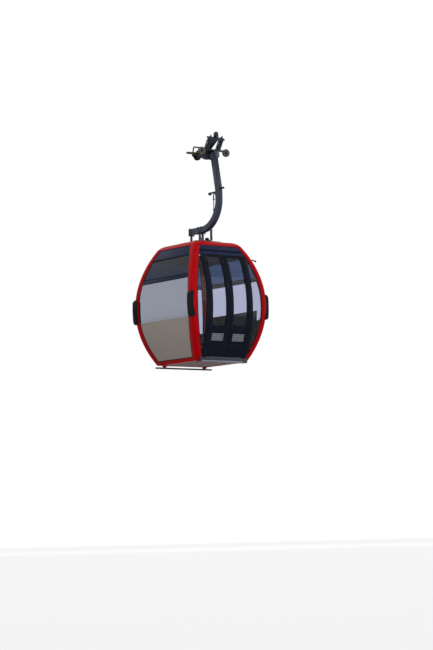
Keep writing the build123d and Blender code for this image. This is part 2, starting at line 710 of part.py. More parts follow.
# Slanted damper beside the stirrups, from the arm's flank down to the roof
damper_top = (DAMPER_TOP_Y, run_low + DAMPER_EYE_RADIUS)
damper_foot = (DAMPER_FOOT_Y, pan_top + DAMPER_EYE_RADIUS)
damper_span = (damper_foot[0] - damper_top[0], damper_foot[1] - damper_top[1])
damper_length = sqrt(damper_span[0] ** 2 + damper_span[1] ** 2)
damper_axis = Plane(
    origin=(-DAMPER_OFFSET, *damper_top),
    x_dir=(1, 0, 0),
    z_dir=(0, damper_span[0], damper_span[1]),
)
damper = extrude(damper_axis * Circle(DAMPER_ROD_RADIUS), amount=damper_length)
damper += extrude(damper_axis.offset(damper_length / 4) * Circle(DAMPER_RADIUS), amount=damper_length / 2)
eye_reach = DAMPER_EYE_LENGTH / 2
damper += rod_x(DAMPER_EYE_RADIUS, -DAMPER_OFFSET - eye_reach, -ARM_WIDTH / 2, *damper_top)
damper += rod_x(DAMPER_EYE_RADIUS, -DAMPER_OFFSET - eye_reach, -DAMPER_OFFSET + eye_reach, *damper_foot)
NODES["sway_damper"] = damper

# Grip housing: fixed jaw over the rope, two cheeks, the outer wall and the spring shelf
rope = rod_x(ROPE_RADIUS, -BIG, BIG)
lever_half = LEVER_WIDTH / 2
slot_half = lever_half + LEVER_GAP
jaw_half = JAW_LENGTH / 2
fixed_jaw = between((-jaw_half, jaw_half), (0, JAW_REACH), (JAW_BOTTOM, JAW_TOP)) - rope
cheek_points = [
    (0, CHEEK_LIP),
    (0, JAW_TOP),
    (HOUSING_OUTER_Y, JAW_TOP),
    (HOUSING_OUTER_Y, HOUSING_BOTTOM - HOUSING_FOOT_HEIGHT),
    (HOUSING_OUTER_Y + HOUSING_FOOT_WIDTH, HOUSING_BOTTOM - HOUSING_FOOT_HEIGHT),
    (-JAW_REACH - CHEEK_GAP, HOUSING_BOTTOM),
    (-JAW_REACH - CHEEK_GAP, CHEEK_LIP),
]
housing = plate_yz(cheek_points, -jaw_half, jaw_half)
housing -= between((-slot_half, slot_half), (HOUSING_OUTER_Y + HOUSING_WALL, -JAW_REACH / 2))
shelf_top = SHELF_BOTTOM + SHELF_THICKNESS
housing += fixed_jaw
housing += between(
    (-SHELF_HALF, SHELF_HALF), (SHELF_END_Y, HOUSING_OUTER_Y), (SHELF_BOTTOM, shelf_top)
)

# Spring axis and its planes
lean = radians(SPRING_LEAN)
axis_y, axis_z = -sin(lean), cos(lean)
foot_rise = SPRING_RADIUS * tan(lean) / 2


def along(distance, x=0.0):
    """Plane square to the spring axis at a distance from the shelf."""
    origin = (x, SPRING_FOOT_Y + axis_y * distance, shelf_top + foot_rise + axis_z * distance)
    return Plane(origin=origin, x_dir=(1, 0, 0), z_dir=(0, axis_y, axis_z))


def spring_seat(side):
    """Round foot of one spring, down into the shelf."""
    depth = foot_rise + SPRING_RADIUS
    seat = extrude(along(SPRING_SEAT_THICKNESS, side * SPRING_OFFSET) * Circle(SPRING_RADIUS), amount=-depth)
    return seat & between(z=(SHELF_BOTTOM, BIG))


def spring(side):
    """Closed coil spring drawn as a core with one ring for each coil."""
    pitch = SPRING_LENGTH / SPRING_COILS
    half_step = pitch / 2
    points = [(0, 0), (SPRING_RADIUS - SPRING_WIRE / 2, 0)]
    for n in range(SPRING_COILS):
        base = pitch * n
        points += [
            (SPRING_RADIUS, base + half_step - SPRING_WIRE / 2),
            (SPRING_RADIUS, base + half_step),
            (SPRING_CORE_RADIUS, base + half_step + SPRING_WIRE / 4),
            (SPRING_CORE_RADIUS, base + pitch - SPRING_WIRE / 4),
        ]
    points[-1] = (SPRING_CORE_RADIUS, SPRING_LENGTH)
    points += [(0, SPRING_LENGTH)]
    outline = Plane.XZ * make_face(Polyline(*points, close=True))
    return along(SPRING_SEAT_THICKNESS, side * SPRING_OFFSET).location * revolve(outline, Axis.Z)


for side in (-1, 1):
    housing += spring_seat(side)

# Wheel beam with two drop plates for the running wheels
beam_y = WHEEL_Y + WHEEL_WIDTH / 2 + WHEEL_SIDE_GAP
beam = (beam_y, beam_y + BEAM_THICKNESS)
beam_end = WHEEL_OFFSET + DROP_PLATE_HALF
housing += between((-beam_end, beam_end), beam, (SHELF_BOTTOM, shelf_top))
for side in (-1, 1):
    housing += between(
        end_range(side, WHEEL_OFFSET - DROP_PLATE_HALF, beam_end),
        beam,
        (WHEEL_Z - DROP_PLATE_HALF, shelf_top),
    )

# Carrier for the guide wheel on the rope's inner side
carrier_y = GUIDE_WHEEL_Y - GUIDE_WHEEL_WIDTH / 2 - GUARD_THICKNESS - WHEEL_SIDE_GAP - CARRIER_THICKNESS
carrier = (carrier_y, carrier_y + CARRIER_THICKNESS)
housing += between(
    (-CARRIER_HALF, CARRIER_HALF), (0, carrier[1]), (JAW_TOP, JAW_TOP + BRIDGE_THICKNESS)
)
housing += between((-CARRIER_HALF, CARRIER_HALF), carrier, (-CARRIER_HALF, JAW_TOP))


def stub_axle(x, z, root, wheel_low, wheel_high):
    """Stub axle with a head outside the wheel; root is where it leaves its plate."""
    outward = 1 if wheel_low > root else -1
    inner_face, outer_face = (wheel_low, wheel_high) if outward > 0 else (wheel_high, wheel_low)
    head = outer_face + outward * WHEEL_SIDE_GAP
    tip = head + outward * AXLE_HEAD
    axle = rod_y(WHEEL_AXLE_RADIUS, min(root, head), max(root, head), x, z)
    axle += rod_y(AXLE_HEAD_RADIUS, min(head, tip), max(head, tip), x, z)
    shoulder = inner_face - outward * WHEEL_SIDE_GAP / 2
    return axle + rod_y(AXLE_SHOULDER_RADIUS, min(root, shoulder), max(root, shoulder), x, z)


wheel_range = (WHEEL_Y - WHEEL_WIDTH / 2, WHEEL_Y + WHEEL_WIDTH / 2)
guide_range = (GUIDE_WHEEL_Y - GUIDE_WHEEL_WIDTH / 2, GUIDE_WHEEL_Y + GUIDE_WHEEL_WIDTH / 2)
NODES["wheel_axles"] = group(
    stub_axle(-WHEEL_OFFSET, WHEEL_Z, beam[0], *wheel_range),
    stub_axle(WHEEL_OFFSET, WHEEL_Z, beam[0], *wheel_range),
    stub_axle(0, 0, carrier[1] + GUARD_THICKNESS, *guide_range),
)


def tyre(x, z, limits, radius, hub_radius):
    """Rounded ring between two limits along Y."""
    ring = rod_y(radius, *limits, x, z)
    ring = fillet(ring.edges().filter_by(GeomType.CIRCLE), EDGE_RADIUS)
    return ring - rod_y(hub_radius, *limits, x, z)


def hub(x, z, limits, hub_radius):
    """Hub with a dished face on both sides and a running hole."""
    disc = rod_y(hub_radius, *limits, x, z)
    dish = (limits[1] - limits[0]) / 4
    for low, high in ((limits[0], limits[0] + dish), (limits[1] - dish, limits[1])):
        disc -= rod_y(hub_radius - HUB_RIM, low, high, x, z) - rod_y(AXLE_HEAD_RADIUS, low, high, x, z)
    return disc - rod_y(WHEEL_AXLE_RADIUS + RUNNING_SHAFT_CLEARANCE, *limits, x, z)


for name, x, z, limits, radius, hub_radius in (
    ("rear_wheel", -WHEEL_OFFSET, WHEEL_Z, wheel_range, WHEEL_RADIUS, WHEEL_HUB_RADIUS),
    ("front_wheel", WHEEL_OFFSET, WHEEL_Z, wheel_range, WHEEL_RADIUS, WHEEL_HUB_RADIUS),
    ("guide_wheel", 0, 0, guide_range, GUIDE_WHEEL_RADIUS, GUIDE_HUB_RADIUS),
):
    NODES[name + "_tyre"] = tyre(x, z, limits, radius, hub_radius)
    NODES[name + "_hub"] = hub(x, z, limits, hub_radius)

# Guard hoop beside the guide wheel
guard_plane = Plane(origin=(0, carrier[1], 0), x_dir=(1, 0, 0), z_dir=(0, -1, 0))


def guard_outline(inset):
    """Tapered outline of the hoop, moved in by inset."""
    return make_face(
        Polyline(
            (-GUARD_HALF + inset, -CARRIER_HALF / 2 + inset),
            (-GUARD_TOP_HALF + inset / 2, GUARD_HEIGHT - inset),
            (GUARD_TOP_HALF - inset / 2, GUARD_HEIGHT - inset),
            (GUARD_HALF - inset, -CARRIER_HALF / 2 + inset),
            close=True,
        )
    )


guard = extrude(guard_plane * guard_outline(0), amount=-GUARD_THICKNESS)
guard -= extrude(guard_plane * guard_outline(GUARD_BAR), amount=-GUARD_THICKNESS)
guard += between(
    (-CARRIER_HALF, CARRIER_HALF),
    (carrier[1], carrier[1] + GUARD_THICKNESS),
    (-CARRIER_HALF, CARRIER_HALF),
)
NODES["wheel_guard"] = guard

# Pivot pin through the housing's outer wall
cap_y = eye_low - EYE_SIDE_GAP
pivot = rod_y(PIVOT_RADIUS, cap_y, HOUSING_OUTER_Y + HOUSING_WALL, z=PIVOT_Z)
pivot += rod_y(PIVOT_CAP_RADIUS, cap_y - PIVOT_CAP_THICKNESS, cap_y, z=PIVOT_Z)
NODES["pivot_pin"] = pivot
housing -= rod_y(PIVOT_RADIUS, HOUSING_OUTER_Y, HOUSING_OUTER_Y + HOUSING_WALL, z=PIVOT_Z)
lever_pin_hole = rod_x(LEVER_PIN_RADIUS, -jaw_half, jaw_half, LEVER_PIN_Y, LEVER_PIN_Z)
housing -= lever_pin_hole
NODES["grip_housing"] = housing
NODES["lever_pin"] = lever_pin_hole

# Movable jaw, its lever up to the cross bar, and the lever roller
bar_low = SPRING_SEAT_THICKNESS + SPRING_LENGTH
bar_plane = along(bar_low)
cross_bar = extrude(bar_plane * Rectangle(2 * BAR_HALF, BAR_WIDTH), amount=BAR_THICKNESS)
cross_bar = fillet(cross_bar.edges().filter_by(Axis.X), EDGE_RADIUS)
bar_foot = along(bar_low).origin
movable_jaw = (
    between((-jaw_half, jaw_half), (-JAW_REACH, -JAW_SPLIT), (JAW_BOTTOM, JAW_BLOCK_HEIGHT)) - rope
)
lever = plate_yz(
    [
        (-JAW_REACH, JAW_BOTTOM),
        (-JAW_REACH, JAW_BLOCK_HEIGHT),
        (LEVER_PIN_Y - LEVER_CREST_WIDTH, JAW_TOP + LEVER_CREST_RISE),
        (bar_foot.Y + LEVER_HEAD_HALF * cos(lean), bar_foot.Z + LEVER_HEAD_HALF * sin(lean)),
        (bar_foot.Y - LEVER_HEAD_HALF * cos(lean), bar_foot.Z - LEVER_HEAD_HALF * sin(lean)),
        (LEVER_PIN_Y - LEVER_BACK_WIDTH, JAW_TOP),
        (LEVER_PIN_Y - LEVER_HEEL_WIDTH, JAW_BOTTOM - LEVER_HEEL_DROP),
    ],
    -lever_half,
    lever_half,
)
lever -= lever_pin_hole
NODES["movable_jaw"] = movable_jaw + lever
bar_top = along(bar_low + BAR_THICKNESS).origin
roller_z = bar_top.Z + LEVER_ROLLER_RISE
roller_y = bar_top.Y
roller_range = (roller_y - LEVER_ROLLER_WIDTH / 2, roller_y + LEVER_ROLLER_WIDTH / 2)
fork_inner = LEVER_ROLLER_WIDTH / 2 + FORK_GAP
fork_outer = fork_inner + FORK_THICKNESS
fork = []
for sign in (-1, 1):
    low, high = sorted((roller_y + sign * fork_inner, roller_y + sign * fork_outer))
    cheek = between((-FORK_HALF, FORK_HALF), (low, high), (bar_foot.Z, roller_z))
    cheek += rod_y(FORK_HALF, low, high, z=roller_z)
    fork.append(cheek)
roller_axle = rod_y(WHEEL_AXLE_RADIUS, roller_y - fork_outer, roller_y + fork_outer, z=roller_z)
above_bar = extrude(along(bar_low + BAR_THICKNESS) * Rectangle(BIG, BIG), amount=BIG)
cross_bar = cross_bar + (fork[0] & above_bar) + (fork[1] & above_bar) + roller_axle
NODES["cross_bar"] = cross_bar
roller = rod_y(LEVER_ROLLER_RADIUS, *roller_range, z=roller_z)
roller = fillet(roller.edges().filter_by(GeomType.CIRCLE), EDGE_RADIUS)
NODES["lever_roller"] = roller - rod_y(
    WHEEL_AXLE_RADIUS + RUNNING_SHAFT_CLEARANCE, *roller_range, z=roller_z
)
NODES["grip_springs"] = group(both_sides(spring))


def tongue(side):
    """Tapered half shell that leads the rope out of the jaws."""
    outer = ROPE_RADIUS + TONGUE_CLEARANCE + TONGUE_WALL
    tip = ROPE_RADIUS + TONGUE_CLEARANCE + TONGUE_WALL / 3
    x0 = side * jaw_half
    profile = make_face(
        Polyline(
            (x0, 0),
            (x0, outer),
            (x0 + side * TONGUE_LENGTH, tip),
            (x0 + side * TONGUE_LENGTH, 0),
            close=True,
        )
    )
    cone = revolve(profile, Axis.X)
    shell = cone - rod_x(ROPE_RADIUS + TONGUE_CLEARANCE, -BIG, BIG)
    return shell & between(z=(-ROPE_RADIUS / 4, BIG))


NODES["jaw_tongues"] = group(both_sides(tongue))

os.makedirs("parts", exist_ok=True)
for node, shape in NODES.items():
    export_step(shape, f"parts/{node}.step")
    print(node, len(shape.solids()), round(sum(s.volume for s in shape.solids()) / 1e6, 3), "litres")
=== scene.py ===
import json
import logging
import math
from collections.abc import Callable, Iterable, Sequence
from dataclasses import dataclass
from enum import Enum
from itertools import product

import bmesh
import bpy
from mathutils import Matrix, Vector

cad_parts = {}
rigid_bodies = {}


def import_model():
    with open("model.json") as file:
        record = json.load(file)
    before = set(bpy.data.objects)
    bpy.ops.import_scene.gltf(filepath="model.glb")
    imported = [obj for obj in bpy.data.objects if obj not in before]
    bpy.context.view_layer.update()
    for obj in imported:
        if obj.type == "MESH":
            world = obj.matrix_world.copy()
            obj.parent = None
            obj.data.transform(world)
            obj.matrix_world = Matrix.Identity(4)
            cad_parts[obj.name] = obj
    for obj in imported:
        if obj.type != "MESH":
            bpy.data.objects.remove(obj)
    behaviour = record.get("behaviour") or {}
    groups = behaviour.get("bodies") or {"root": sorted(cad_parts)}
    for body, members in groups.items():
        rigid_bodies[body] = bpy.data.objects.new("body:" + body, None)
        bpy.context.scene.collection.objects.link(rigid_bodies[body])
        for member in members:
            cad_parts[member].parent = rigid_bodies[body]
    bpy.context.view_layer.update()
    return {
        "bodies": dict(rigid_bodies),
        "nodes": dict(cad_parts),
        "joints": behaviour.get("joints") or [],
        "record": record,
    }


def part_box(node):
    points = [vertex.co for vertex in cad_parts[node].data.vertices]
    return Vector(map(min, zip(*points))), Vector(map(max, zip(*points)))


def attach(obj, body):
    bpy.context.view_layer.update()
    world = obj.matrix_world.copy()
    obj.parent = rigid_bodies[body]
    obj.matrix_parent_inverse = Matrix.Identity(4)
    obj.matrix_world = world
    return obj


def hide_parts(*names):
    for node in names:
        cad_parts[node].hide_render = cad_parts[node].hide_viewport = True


LOG = logging.getLogger("gondola")
GRIP = "grip"
CABIN = "hanger and cabin"

# The barrel of the cabin, as the part has it, in metres
CABIN_Y = 0.205
HALF_LENGTH = 0.892
HALF_WIDTH = 0.963
BARREL_RADIUS = 2.165
BARREL_Z = -2.973
BAY_RADIUS = 2.150
CORNER_RADIUS = 0.050
DOOR_POST_WIDTH = 0.115
END_POST_WIDTH = 0.145
DOOR_HALF = 0.422
JAMB = DOOR_HALF + 0.110

# Heights on the cabin, from the top
TOP_FRAME_Z = -1.838
HEADER_Z = -2.040
VENT_Z = -2.425
BAR_Z = VENT_Z - 0.055
FILM_TOP = -3.240
SKIRT_Z = -4.004
FLOOR_Z = -4.066

Point = tuple[float, float, float]
Colour = tuple[float, float, float, float]
Span = tuple[float, float]
Profile = list[Span]
Path = list[tuple[Vector, Vector]]
Spots = list[tuple[Point, Point]]
Socket = bpy.types.NodeSocket
Value = Socket | float
Inputs = dict[str | int, object]

UP, DOWN = (0.0, 0.0, 1.0), (0.0, 0.0, -1.0)
OUT, BACK = (0.0, -1.0, 0.0), (0.0, 1.0, 0.0)
NO_COLOUR = (0.0, 0.0, 0.0, 1.0)


def linear(*levels: int) -> Colour:
    """Turns a colour written in 0 to 255 into linear light with full alpha."""
    shares = [level / 255 for level in levels]
    return (*(c / 12.92 if c <= 0.04045 else ((c + 0.055) / 1.055) ** 2.4 for c in shares), 1.0)


class GlassKind(Enum):
    """Panes by their mirror share, roughness and index of refraction."""

    CLEAR = (0.0, 0.02, 1.25)
    TINTED = (0.0, 0.03, 1.25)
    MIRROR = (0.82, 0.04, 1.45)


@dataclass(frozen=True)
class Finish:
    """A surface finish.

    Attributes:
        name: Name of the material.
        levels: Main colour, in 0 to 255.
        roughness: Least roughness.
        bump: Depth of the grain.
        dust: Amount of dust.
        streaks: Amount of rain marks.
        wear: Amount of bare or rubbed spots.
        metallic: Metal share.
        coat: Weight of a clear coat.
        shine: Strength of the plain reflection.
        grain: Grains per metre.
    """

    name: str
    levels: tuple[int, int, int]
    roughness: float = 0.4
    bump: float = 0.05
    dust: float = 0.4
    streaks: float = 0.3
    wear: float = 0.0
    metallic: float = 0.0
    coat: float = 0.0
    shine: float = 0.3
    grain: float = 400.0


@dataclass(frozen=True)
class GlassFinish:
    """A pane's finish.

    Attributes:
        name: Name of the material.
        kind: How it mirrors and bends light.
        tint: Colour of the light that passes or comes back, in linear light.
    """

    name: str
    kind: GlassKind
    tint: Colour


DIRT = linear(120, 112, 102)
BARE_METAL = linear(150, 150, 152)
SMEAR = linear(150, 150, 150)
FINISHES = {
    "grip_casting": Finish("cast grip paint", (36, 43, 60), 0.45, 0.35, 0.2, wear=0.3, grain=260.0),
    "jaw_steel": Finish("jaw steel", (70, 66, 62), 0.42, 0.3, wear=0.5, metallic=0.7),
    "pin_steel": Finish("turned steel", (84, 86, 92), 0.34, 0.1, 0.3, metallic=0.9),
    "spring_steel": Finish("spring lacquer", (30, 38, 54), dust=0.3, wear=0.2, coat=0.1),
    "tongue_bronze": Finish("rope bronze", (72, 62, 52), 0.45, wear=0.4, metallic=0.7),
    "wheel_polyurethane": Finish("wheel tread", (104, 94, 82), 0.55, 0.2, 0.5),
    "wheel_hub": Finish("hub casting", (46, 50, 58), 0.5, 0.3, metallic=0.3),
    "dark_rubber": Finish("black rubber", (14, 14, 18), 0.65, 0.3, 0.2, shine=0.12, grain=700.0),
    "hanger_paint": Finish("hanger paint", (36, 47, 72), dust=0.25, streaks=0.4, wear=0.08, coat=0.1),
    "roof_grey": Finish("roof laminate", (84, 78, 94), 0.5, 0.15, 0.5),
    "red_paint": Finish("red paint", (206, 3, 16), 0.35, 0.03, 0.03, 0.08, shine=0.05),
    "liner_grey": Finish("ceiling liner", (84, 110, 156), 0.6, 0.2, 0.1, shine=0.1),
    "floor_beige": Finish("floor underside", (150, 118, 116), 0.6, 0.2, 0.5),
    "teal_panel": Finish("teal panel", (34, 47, 80), 0.35, 0.03, 0.05, shine=0.06),
    "black_trim": Finish("black trim", (11, 14, 21), 0.5, 0.2, 0.1, shine=0.08),
    "dark_frame": Finish("door frame paint", (10, 18, 36), dust=0.05, streaks=0.12, shine=0.06),
    "louvre_grey": Finish("louvre plastic", (190, 190, 202), 0.5, 0.2, 0.2),
    "threshold_alu": Finish("threshold metal", (128, 130, 140), wear=0.3, metallic=0.8),
    "sill_grey": Finish("sill paint", (42, 48, 66), 0.45, dust=0.3, streaks=0.4, wear=0.15),
    "seat_shell": Finish("seat frame plastic", (24, 25, 36), 0.6, 0.25, 0.1, shine=0.08),
    "seat_plastic": Finish("seat plastic", (18, 20, 31), 0.6, 0.3, 0.1, shine=0.08, grain=600.0),
    "end_film": Finish("plain end film", (190, 178, 170), 0.45, dust=0.2, streaks=0.5, shine=0.2),
}
GLASS = {
    "clear_glass": GlassFinish("clear pane", GlassKind.CLEAR, (0.60, 0.62, 0.74, 1.0)),
    "tinted_glass": GlassFinish("tinted pane", GlassKind.TINTED, (0.040, 0.078, 0.160, 1.0)),
    "mirror_glass": GlassFinish("mirror film pane", GlassKind.MIRROR, (0.30, 0.32, 0.385, 1.0)),
}


class Graph:
    """A node tree that nodes are added to and joined in, in few words."""

    def __init__(self, tree: bpy.types.NodeTree) -> None:
        """Wraps a tree."""
        self.tree = tree

    def feed(self, node: bpy.types.Node, inputs: Inputs) -> None:
        """Links inputs of a node, or sets plain values on them.

        Args:
            node: The node.
            inputs: An output socket or a plain value for each input, by name or place.
        """
        for key, source in inputs.items():
            if isinstance(source, Socket):
                self.tree.links.new(source, node.inputs[key])
            else:
                node.inputs[key].default_value = source

    def add(self, kind: str, inputs: Inputs | None = None, **values: object) -> bpy.types.Node:
        """Adds a node.

        Args:
            kind: Blender's type name of the node.
            inputs: What its inputs are fed with.
            values: Its properties by name.

        Returns:
            The new node.
        """
        node = self.tree.nodes.new(kind)
        for name, value in values.items():
            setattr(node, name, value)
        self.feed(node, inputs or {})
        return node

    def out(self, kind: str, inputs: Inputs, **values: object) -> Socket:
        """Adds a node and gives its first output."""
        return self.add(kind, inputs, **values).outputs[0]

    def noise(self, place: Socket, scale: Value, detail: float) -> Socket:
        """Adds a noise texture of so many spots per metre and octaves."""
        return self.out("ShaderNodeTexNoise", {"Vector": place, "Scale": scale, "Detail": detail})

    def spread(self, value: Socket, low: Value, high: Value) -> Socket:
        """Stretches a value between two limits to 0 and 1."""
        return self.out("ShaderNodeMapRange", {"Value": value, "From Min": low, "From Max": high})

    def maths(self, operation: str, first: Value, second: Value) -> Socket:
        """Adds a maths node with two inputs."""
        return self.out("ShaderNodeMath", {0: first, 1: second}, operation=operation)

    def times(self, first: Value, second: Value) -> Socket:
        """Multiplies two values."""
        return self.maths("MULTIPLY", first, second)

    def plus(self, first: Value, second: Value) -> Socket:
        """Adds two values."""
        return self.maths("ADD", first, second)

    def blend(self, share: Value, first: Socket | Colour, second: Socket | Colour) -> Socket:
        """Mixes two colours by the share of the second."""
        return self.add("ShaderNodeMix", {0: share, 6: first, 7: second}, data_type="RGBA").outputs[2]

    def shown_ray(self) -> Socket:
        """Gives one for rays that show the background, not for those that light the object."""
        rays = self.add("ShaderNodeLightPath").outputs
        shown = self.maths("MAXIMUM", rays["Is Camera Ray"], rays["Is Transmission Ray"])
        return self.maths("MAXIMUM", shown, rays["Is Glossy Ray"])


class Effect(Graph):
    """A shader node group with number inputs and outputs, laid out by object coordinates."""

    def __init__(self, name: str, inputs: dict[str, float], *outputs: str) -> None:
        """Starts the group.

        Args:
            name: Name of the group.
            inputs: Default value of each named input.
            outputs: Names of the outputs.
        """
        super().__init__(bpy.data.node_groups.new(name, "ShaderNodeTree"))
        new_socket = self.tree.interface.new_socket
        for label, default in inputs.items():
            new_socket(label, in_out="INPUT", socket_type="NodeSocketFloat").default_value = default
        for label in outputs:
            new_socket(label, in_out="OUTPUT", socket_type="NodeSocketFloat")
        self.given = self.add("NodeGroupInput").outputs
        self.result = self.add("NodeGroupOutput")
        self.place = self.add("ShaderNodeTexCoord").outputs["Object"]


def weathering_group() -> bpy.types.NodeTree:
    """Builds the dust and rain marks that every surface shares.

    Returns:
        A group with the inputs Scale, Dust and Streaks and the outputs Dirt and Streak.
    """
    group = Effect("Weathering", {"Scale": 3.0, "Dust": 0.5, "Streaks": 0.5}, "Dirt", "Streak")
    cloud = group.noise(group.place, group.given["Scale"], 6.0)
    speck = group.noise(group.place, 140.0, 3.0)
    mixed = group.plus(group.times(cloud, 0.75), group.times(speck, 0.25))
    edge = group.maths("SUBTRACT", 0.78, group.times(group.given["Dust"], 0.35))
    drawn_out = group.out("ShaderNodeMapping", {"Vector": group.place, "Scale": (26.0, 26.0, 1.3)})
    rain = group.spread(group.noise(drawn_out, 1.0, 3.0), 0.52, 0.72)
    dirt = group.spread(mixed, edge, group.plus(edge, 0.16))
    group.feed(group.result, {"Dirt": dirt, "Streak": group.times(rain, group.given["Streaks"])})
    return group.tree


def grain_group() -> bpy.types.NodeTree:
    """Builds the fine grain of moulded, cast and rolled surfaces.

    Returns:
        A group with the input Size and the outputs Grain and Height.
    """
    group = Effect("Fine grain", {"Size": 400.0}, "Grain", "Height")
    fine = group.noise(group.place, group.given["Size"], 5.0)
    group.feed(group.result, {"Grain": group.spread(fine, 0.35, 0.65), "Height": fine})
    return group.tree


def wear_group() -> bpy.types.NodeTree:
    """Builds the bare spots on handled or rubbed metal.

    Returns:
        A group with the input Amount and the output Bare.
    """
    group = Effect("Rubbed wear", {"Amount": 0.5}, "Bare")
    edge = group.maths("SUBTRACT", 0.74, group.times(group.given["Amount"], 0.2))
    patch = group.noise(group.place, 19.0, 8.0)
    group.feed(group.result, {"Bare": group.spread(patch, edge, group.plus(edge, 0.05))})
    return group.tree


class Surface(Graph):
    """A material's tree round its principled shader."""

    def __init__(self, name: str) -> None:
        """Starts the material.

        Args:
            name: Name of the material.
        """
        self.material = bpy.data.materials.new(name)
        self.material.use_nodes = True
        super().__init__(self.material.node_tree)
        self.shader = self.tree.nodes["Principled BSDF"]

    def effect(self, tree: bpy.types.NodeTree, **values: float) -> bpy.types.NodeOutputs:
        """Places a shared effect with its own values and gives its outputs."""
        return self.add("ShaderNodeGroup", values, node_tree=tree).outputs


class Workshop:
    """Makes the materials once and hands them out.

    Attributes:
        hollow_painted_shade: Share of its colour that the grain's hollows keep, as painted shade.
        marks: How much rain marks show.
        grain_rough: Roughness that the grain adds.
        film_rough: Roughness that dust and marks add.
        relief: Height of the grain, in metres.
        coat_rough: Roughness of the clear coat.
        smear: How much dust shows on glass.
        smear_rough: Roughness that marks add to glass.
    """

    hollow_painted_shade = 0.72
    marks = 0.35
    grain_rough = 0.1
    film_rough = 0.2
    relief = 0.002
    coat_rough = 0.08
    smear = 0.10
    smear_rough = 0.05

    def __init__(self) -> None:
        """Builds the shared effects."""
        self.weathering, self.grain, self.wear = weathering_group(), grain_group(), wear_group()
        self.made: dict[str, bpy.types.Material] = {}

    def material(self, key: str) -> bpy.types.Material:
        """Gives a finish's or a glass's material, made when it is first asked for.

        Args:
            key: Its name in the table, most often a slot of the record.

        Returns:
            The material.
        """
        if key not in self.made:
            surface = self.glass(GLASS[key]) if key in GLASS else self.finish(FINISHES[key])
            self.made[key] = surface.material
        return self.made[key]

    def finish(self, finish: Finish) -> Surface:
        """Makes a finish: grain with painted shade in its hollows, worn spots, dust and rain marks over its
        colour.

        Args:
            finish: The finish.

        Returns:
            The surface.
        """
        surface = Surface(finish.name)
        weather = surface.effect(self.weathering, Dust=finish.dust, Streaks=finish.streaks)
        grain = surface.effect(self.grain, Size=finish.grain)
        colour = linear(*finish.levels)
        # Painted shade: where the grain's bump is low, the colour blends into a darker copy of itself
        hollow_painted_shade = (*(self.hollow_painted_shade * c for c in colour[:3]), 1.0)
        colour = surface.blend(grain["Grain"], hollow_painted_shade, colour)
        if finish.wear:
            bare = surface.effect(self.wear, Amount=finish.wear)["Bare"]
            colour = surface.blend(bare, colour, BARE_METAL)
        film = surface.times(weather["Dirt"], finish.dust)
        film = surface.maths("MAXIMUM", film, surface.times(weather["Streak"], self.marks))
        rough_grain = surface.times(grain["Grain"], self.grain_rough)
        rough = surface.plus(rough_grain, surface.times(film, self.film_rough))
        bump = {"Height": grain["Height"], "Strength": finish.bump, "Distance": self.relief}
        surface.feed(surface.shader, {
            "Base Color": surface.blend(film, colour, DIRT),
            "Roughness": surface.plus(rough, finish.roughness),
            "Normal": surface.out("ShaderNodeBump", bump),
            "Metallic": finish.metallic,
            "Specular IOR Level": finish.shine,
            "Coat Weight": finish.coat,
            "Coat Roughness": self.coat_rough,
        })
        return surface

    def glass(self, finish: GlassFinish) -> Surface:
        """Makes a pane's surface, with smears of dust on it.

        Args:
            finish: The finish.

        Returns:
            The surface.
        """
        mirror, roughness, index = finish.kind.value
        surface = Surface(finish.name)
        weather = surface.effect(self.weathering, Scale=2.2, Dust=0.35, Streaks=0.5)
        surface.feed(surface.shader, {
            "Base Color": surface.blend(surface.times(weather["Dirt"], self.smear), finish.tint, SMEAR),
            "Roughness": surface.plus(surface.times(weather["Streak"], self.smear_rough), roughness),
            "Transmission Weight": 1.0,
            "IOR": index,
            "Metallic": mirror,
        })
        return surface


def dress_nodes(frame: dict, workshop: Workshop) -> None:
    """Gives every CAD node the material of its slot.

    Args:
        frame: The loaded frame.
        workshop: Maker of the materials.
    """
    for entry in frame["record"]["subparts"]:
        materials = frame["nodes"][entry["node"]].data.materials
        materials.clear()
        materials.append(workshop.material(entry["material_slot"]))


class Side(Enum):
    """Sides of the cabin: the axis that the side faces, its sign, and its bay's half width."""

    REAR = (0, -1, HALF_WIDTH - END_POST_WIDTH)
    FRONT = (0, 1, HALF_WIDTH - END_POST_WIDTH)
    DOOR = (1, -1, HALF_LENGTH - DOOR_POST_WIDTH)
    FAR = (1, 1, HALF_LENGTH - DOOR_POST_WIDTH)

    def reach(self, z: float, inset: float = 0.0) -> float:
        """Gives the distance of the curved face from the cabin's middle, less an inset."""
        half = HALF_WIDTH if self.value[0] else HALF_LENGTH
        return half - BARREL_RADIUS + math.sqrt((BARREL_RADIUS - inset) ** 2 - (z - BARREL_Z) ** 2)

    def edge(self, z: float) -> float:
        """Gives half the width of the bay between two corner posts."""
        return self.value[2] - BAY_RADIUS + math.sqrt(BAY_RADIUS**2 - (z - BARREL_Z) ** 2)

    def bay(self, z: float) -> list[float]:
        """Gives nine places across the bay, from post to post."""
        return between(-self.edge(z), self.edge(z), 8)

    def point(self, across: float, z: float, inset: float = 0.0) -> Vector:
        """Gives a point on the face.

        Args:
            across: Level distance from the face's middle, along +X or +Y.
            z: Height.
            inset: How far inside the face.

        Returns:
            The point.
        """
        axis, sign, _ = self.value
        out = sign * self.reach(z, inset)
        return Vector((across, CABIN_Y + out, z) if axis else (out, CABIN_Y + across, z))

    def outward(self, z: float) -> Vector:
        """Gives the direction square to the face.

        Args:
            z: Height.

        Returns:
            The unit vector.
        """
        rise = (z - BARREL_Z) / BARREL_RADIUS
        level = self.value[1] * math.sqrt(1 - rise * rise)
        return Vector((0.0, level, rise) if self.value[0] else (level, 0.0, rise))

    def path(self, spots: Iterable[Span], inset: float) -> Path:
        """Gives the point and outward direction at each spot, told by its place across and its height."""
        return [(self.point(across, z, inset), self.outward(z)) for across, z in spots]


def between(low: float, high: float, steps: int) -> list[float]:
    """Gives evenly spaced values from low to high."""
    return [low + (high - low) * n / steps for n in range(steps + 1)]


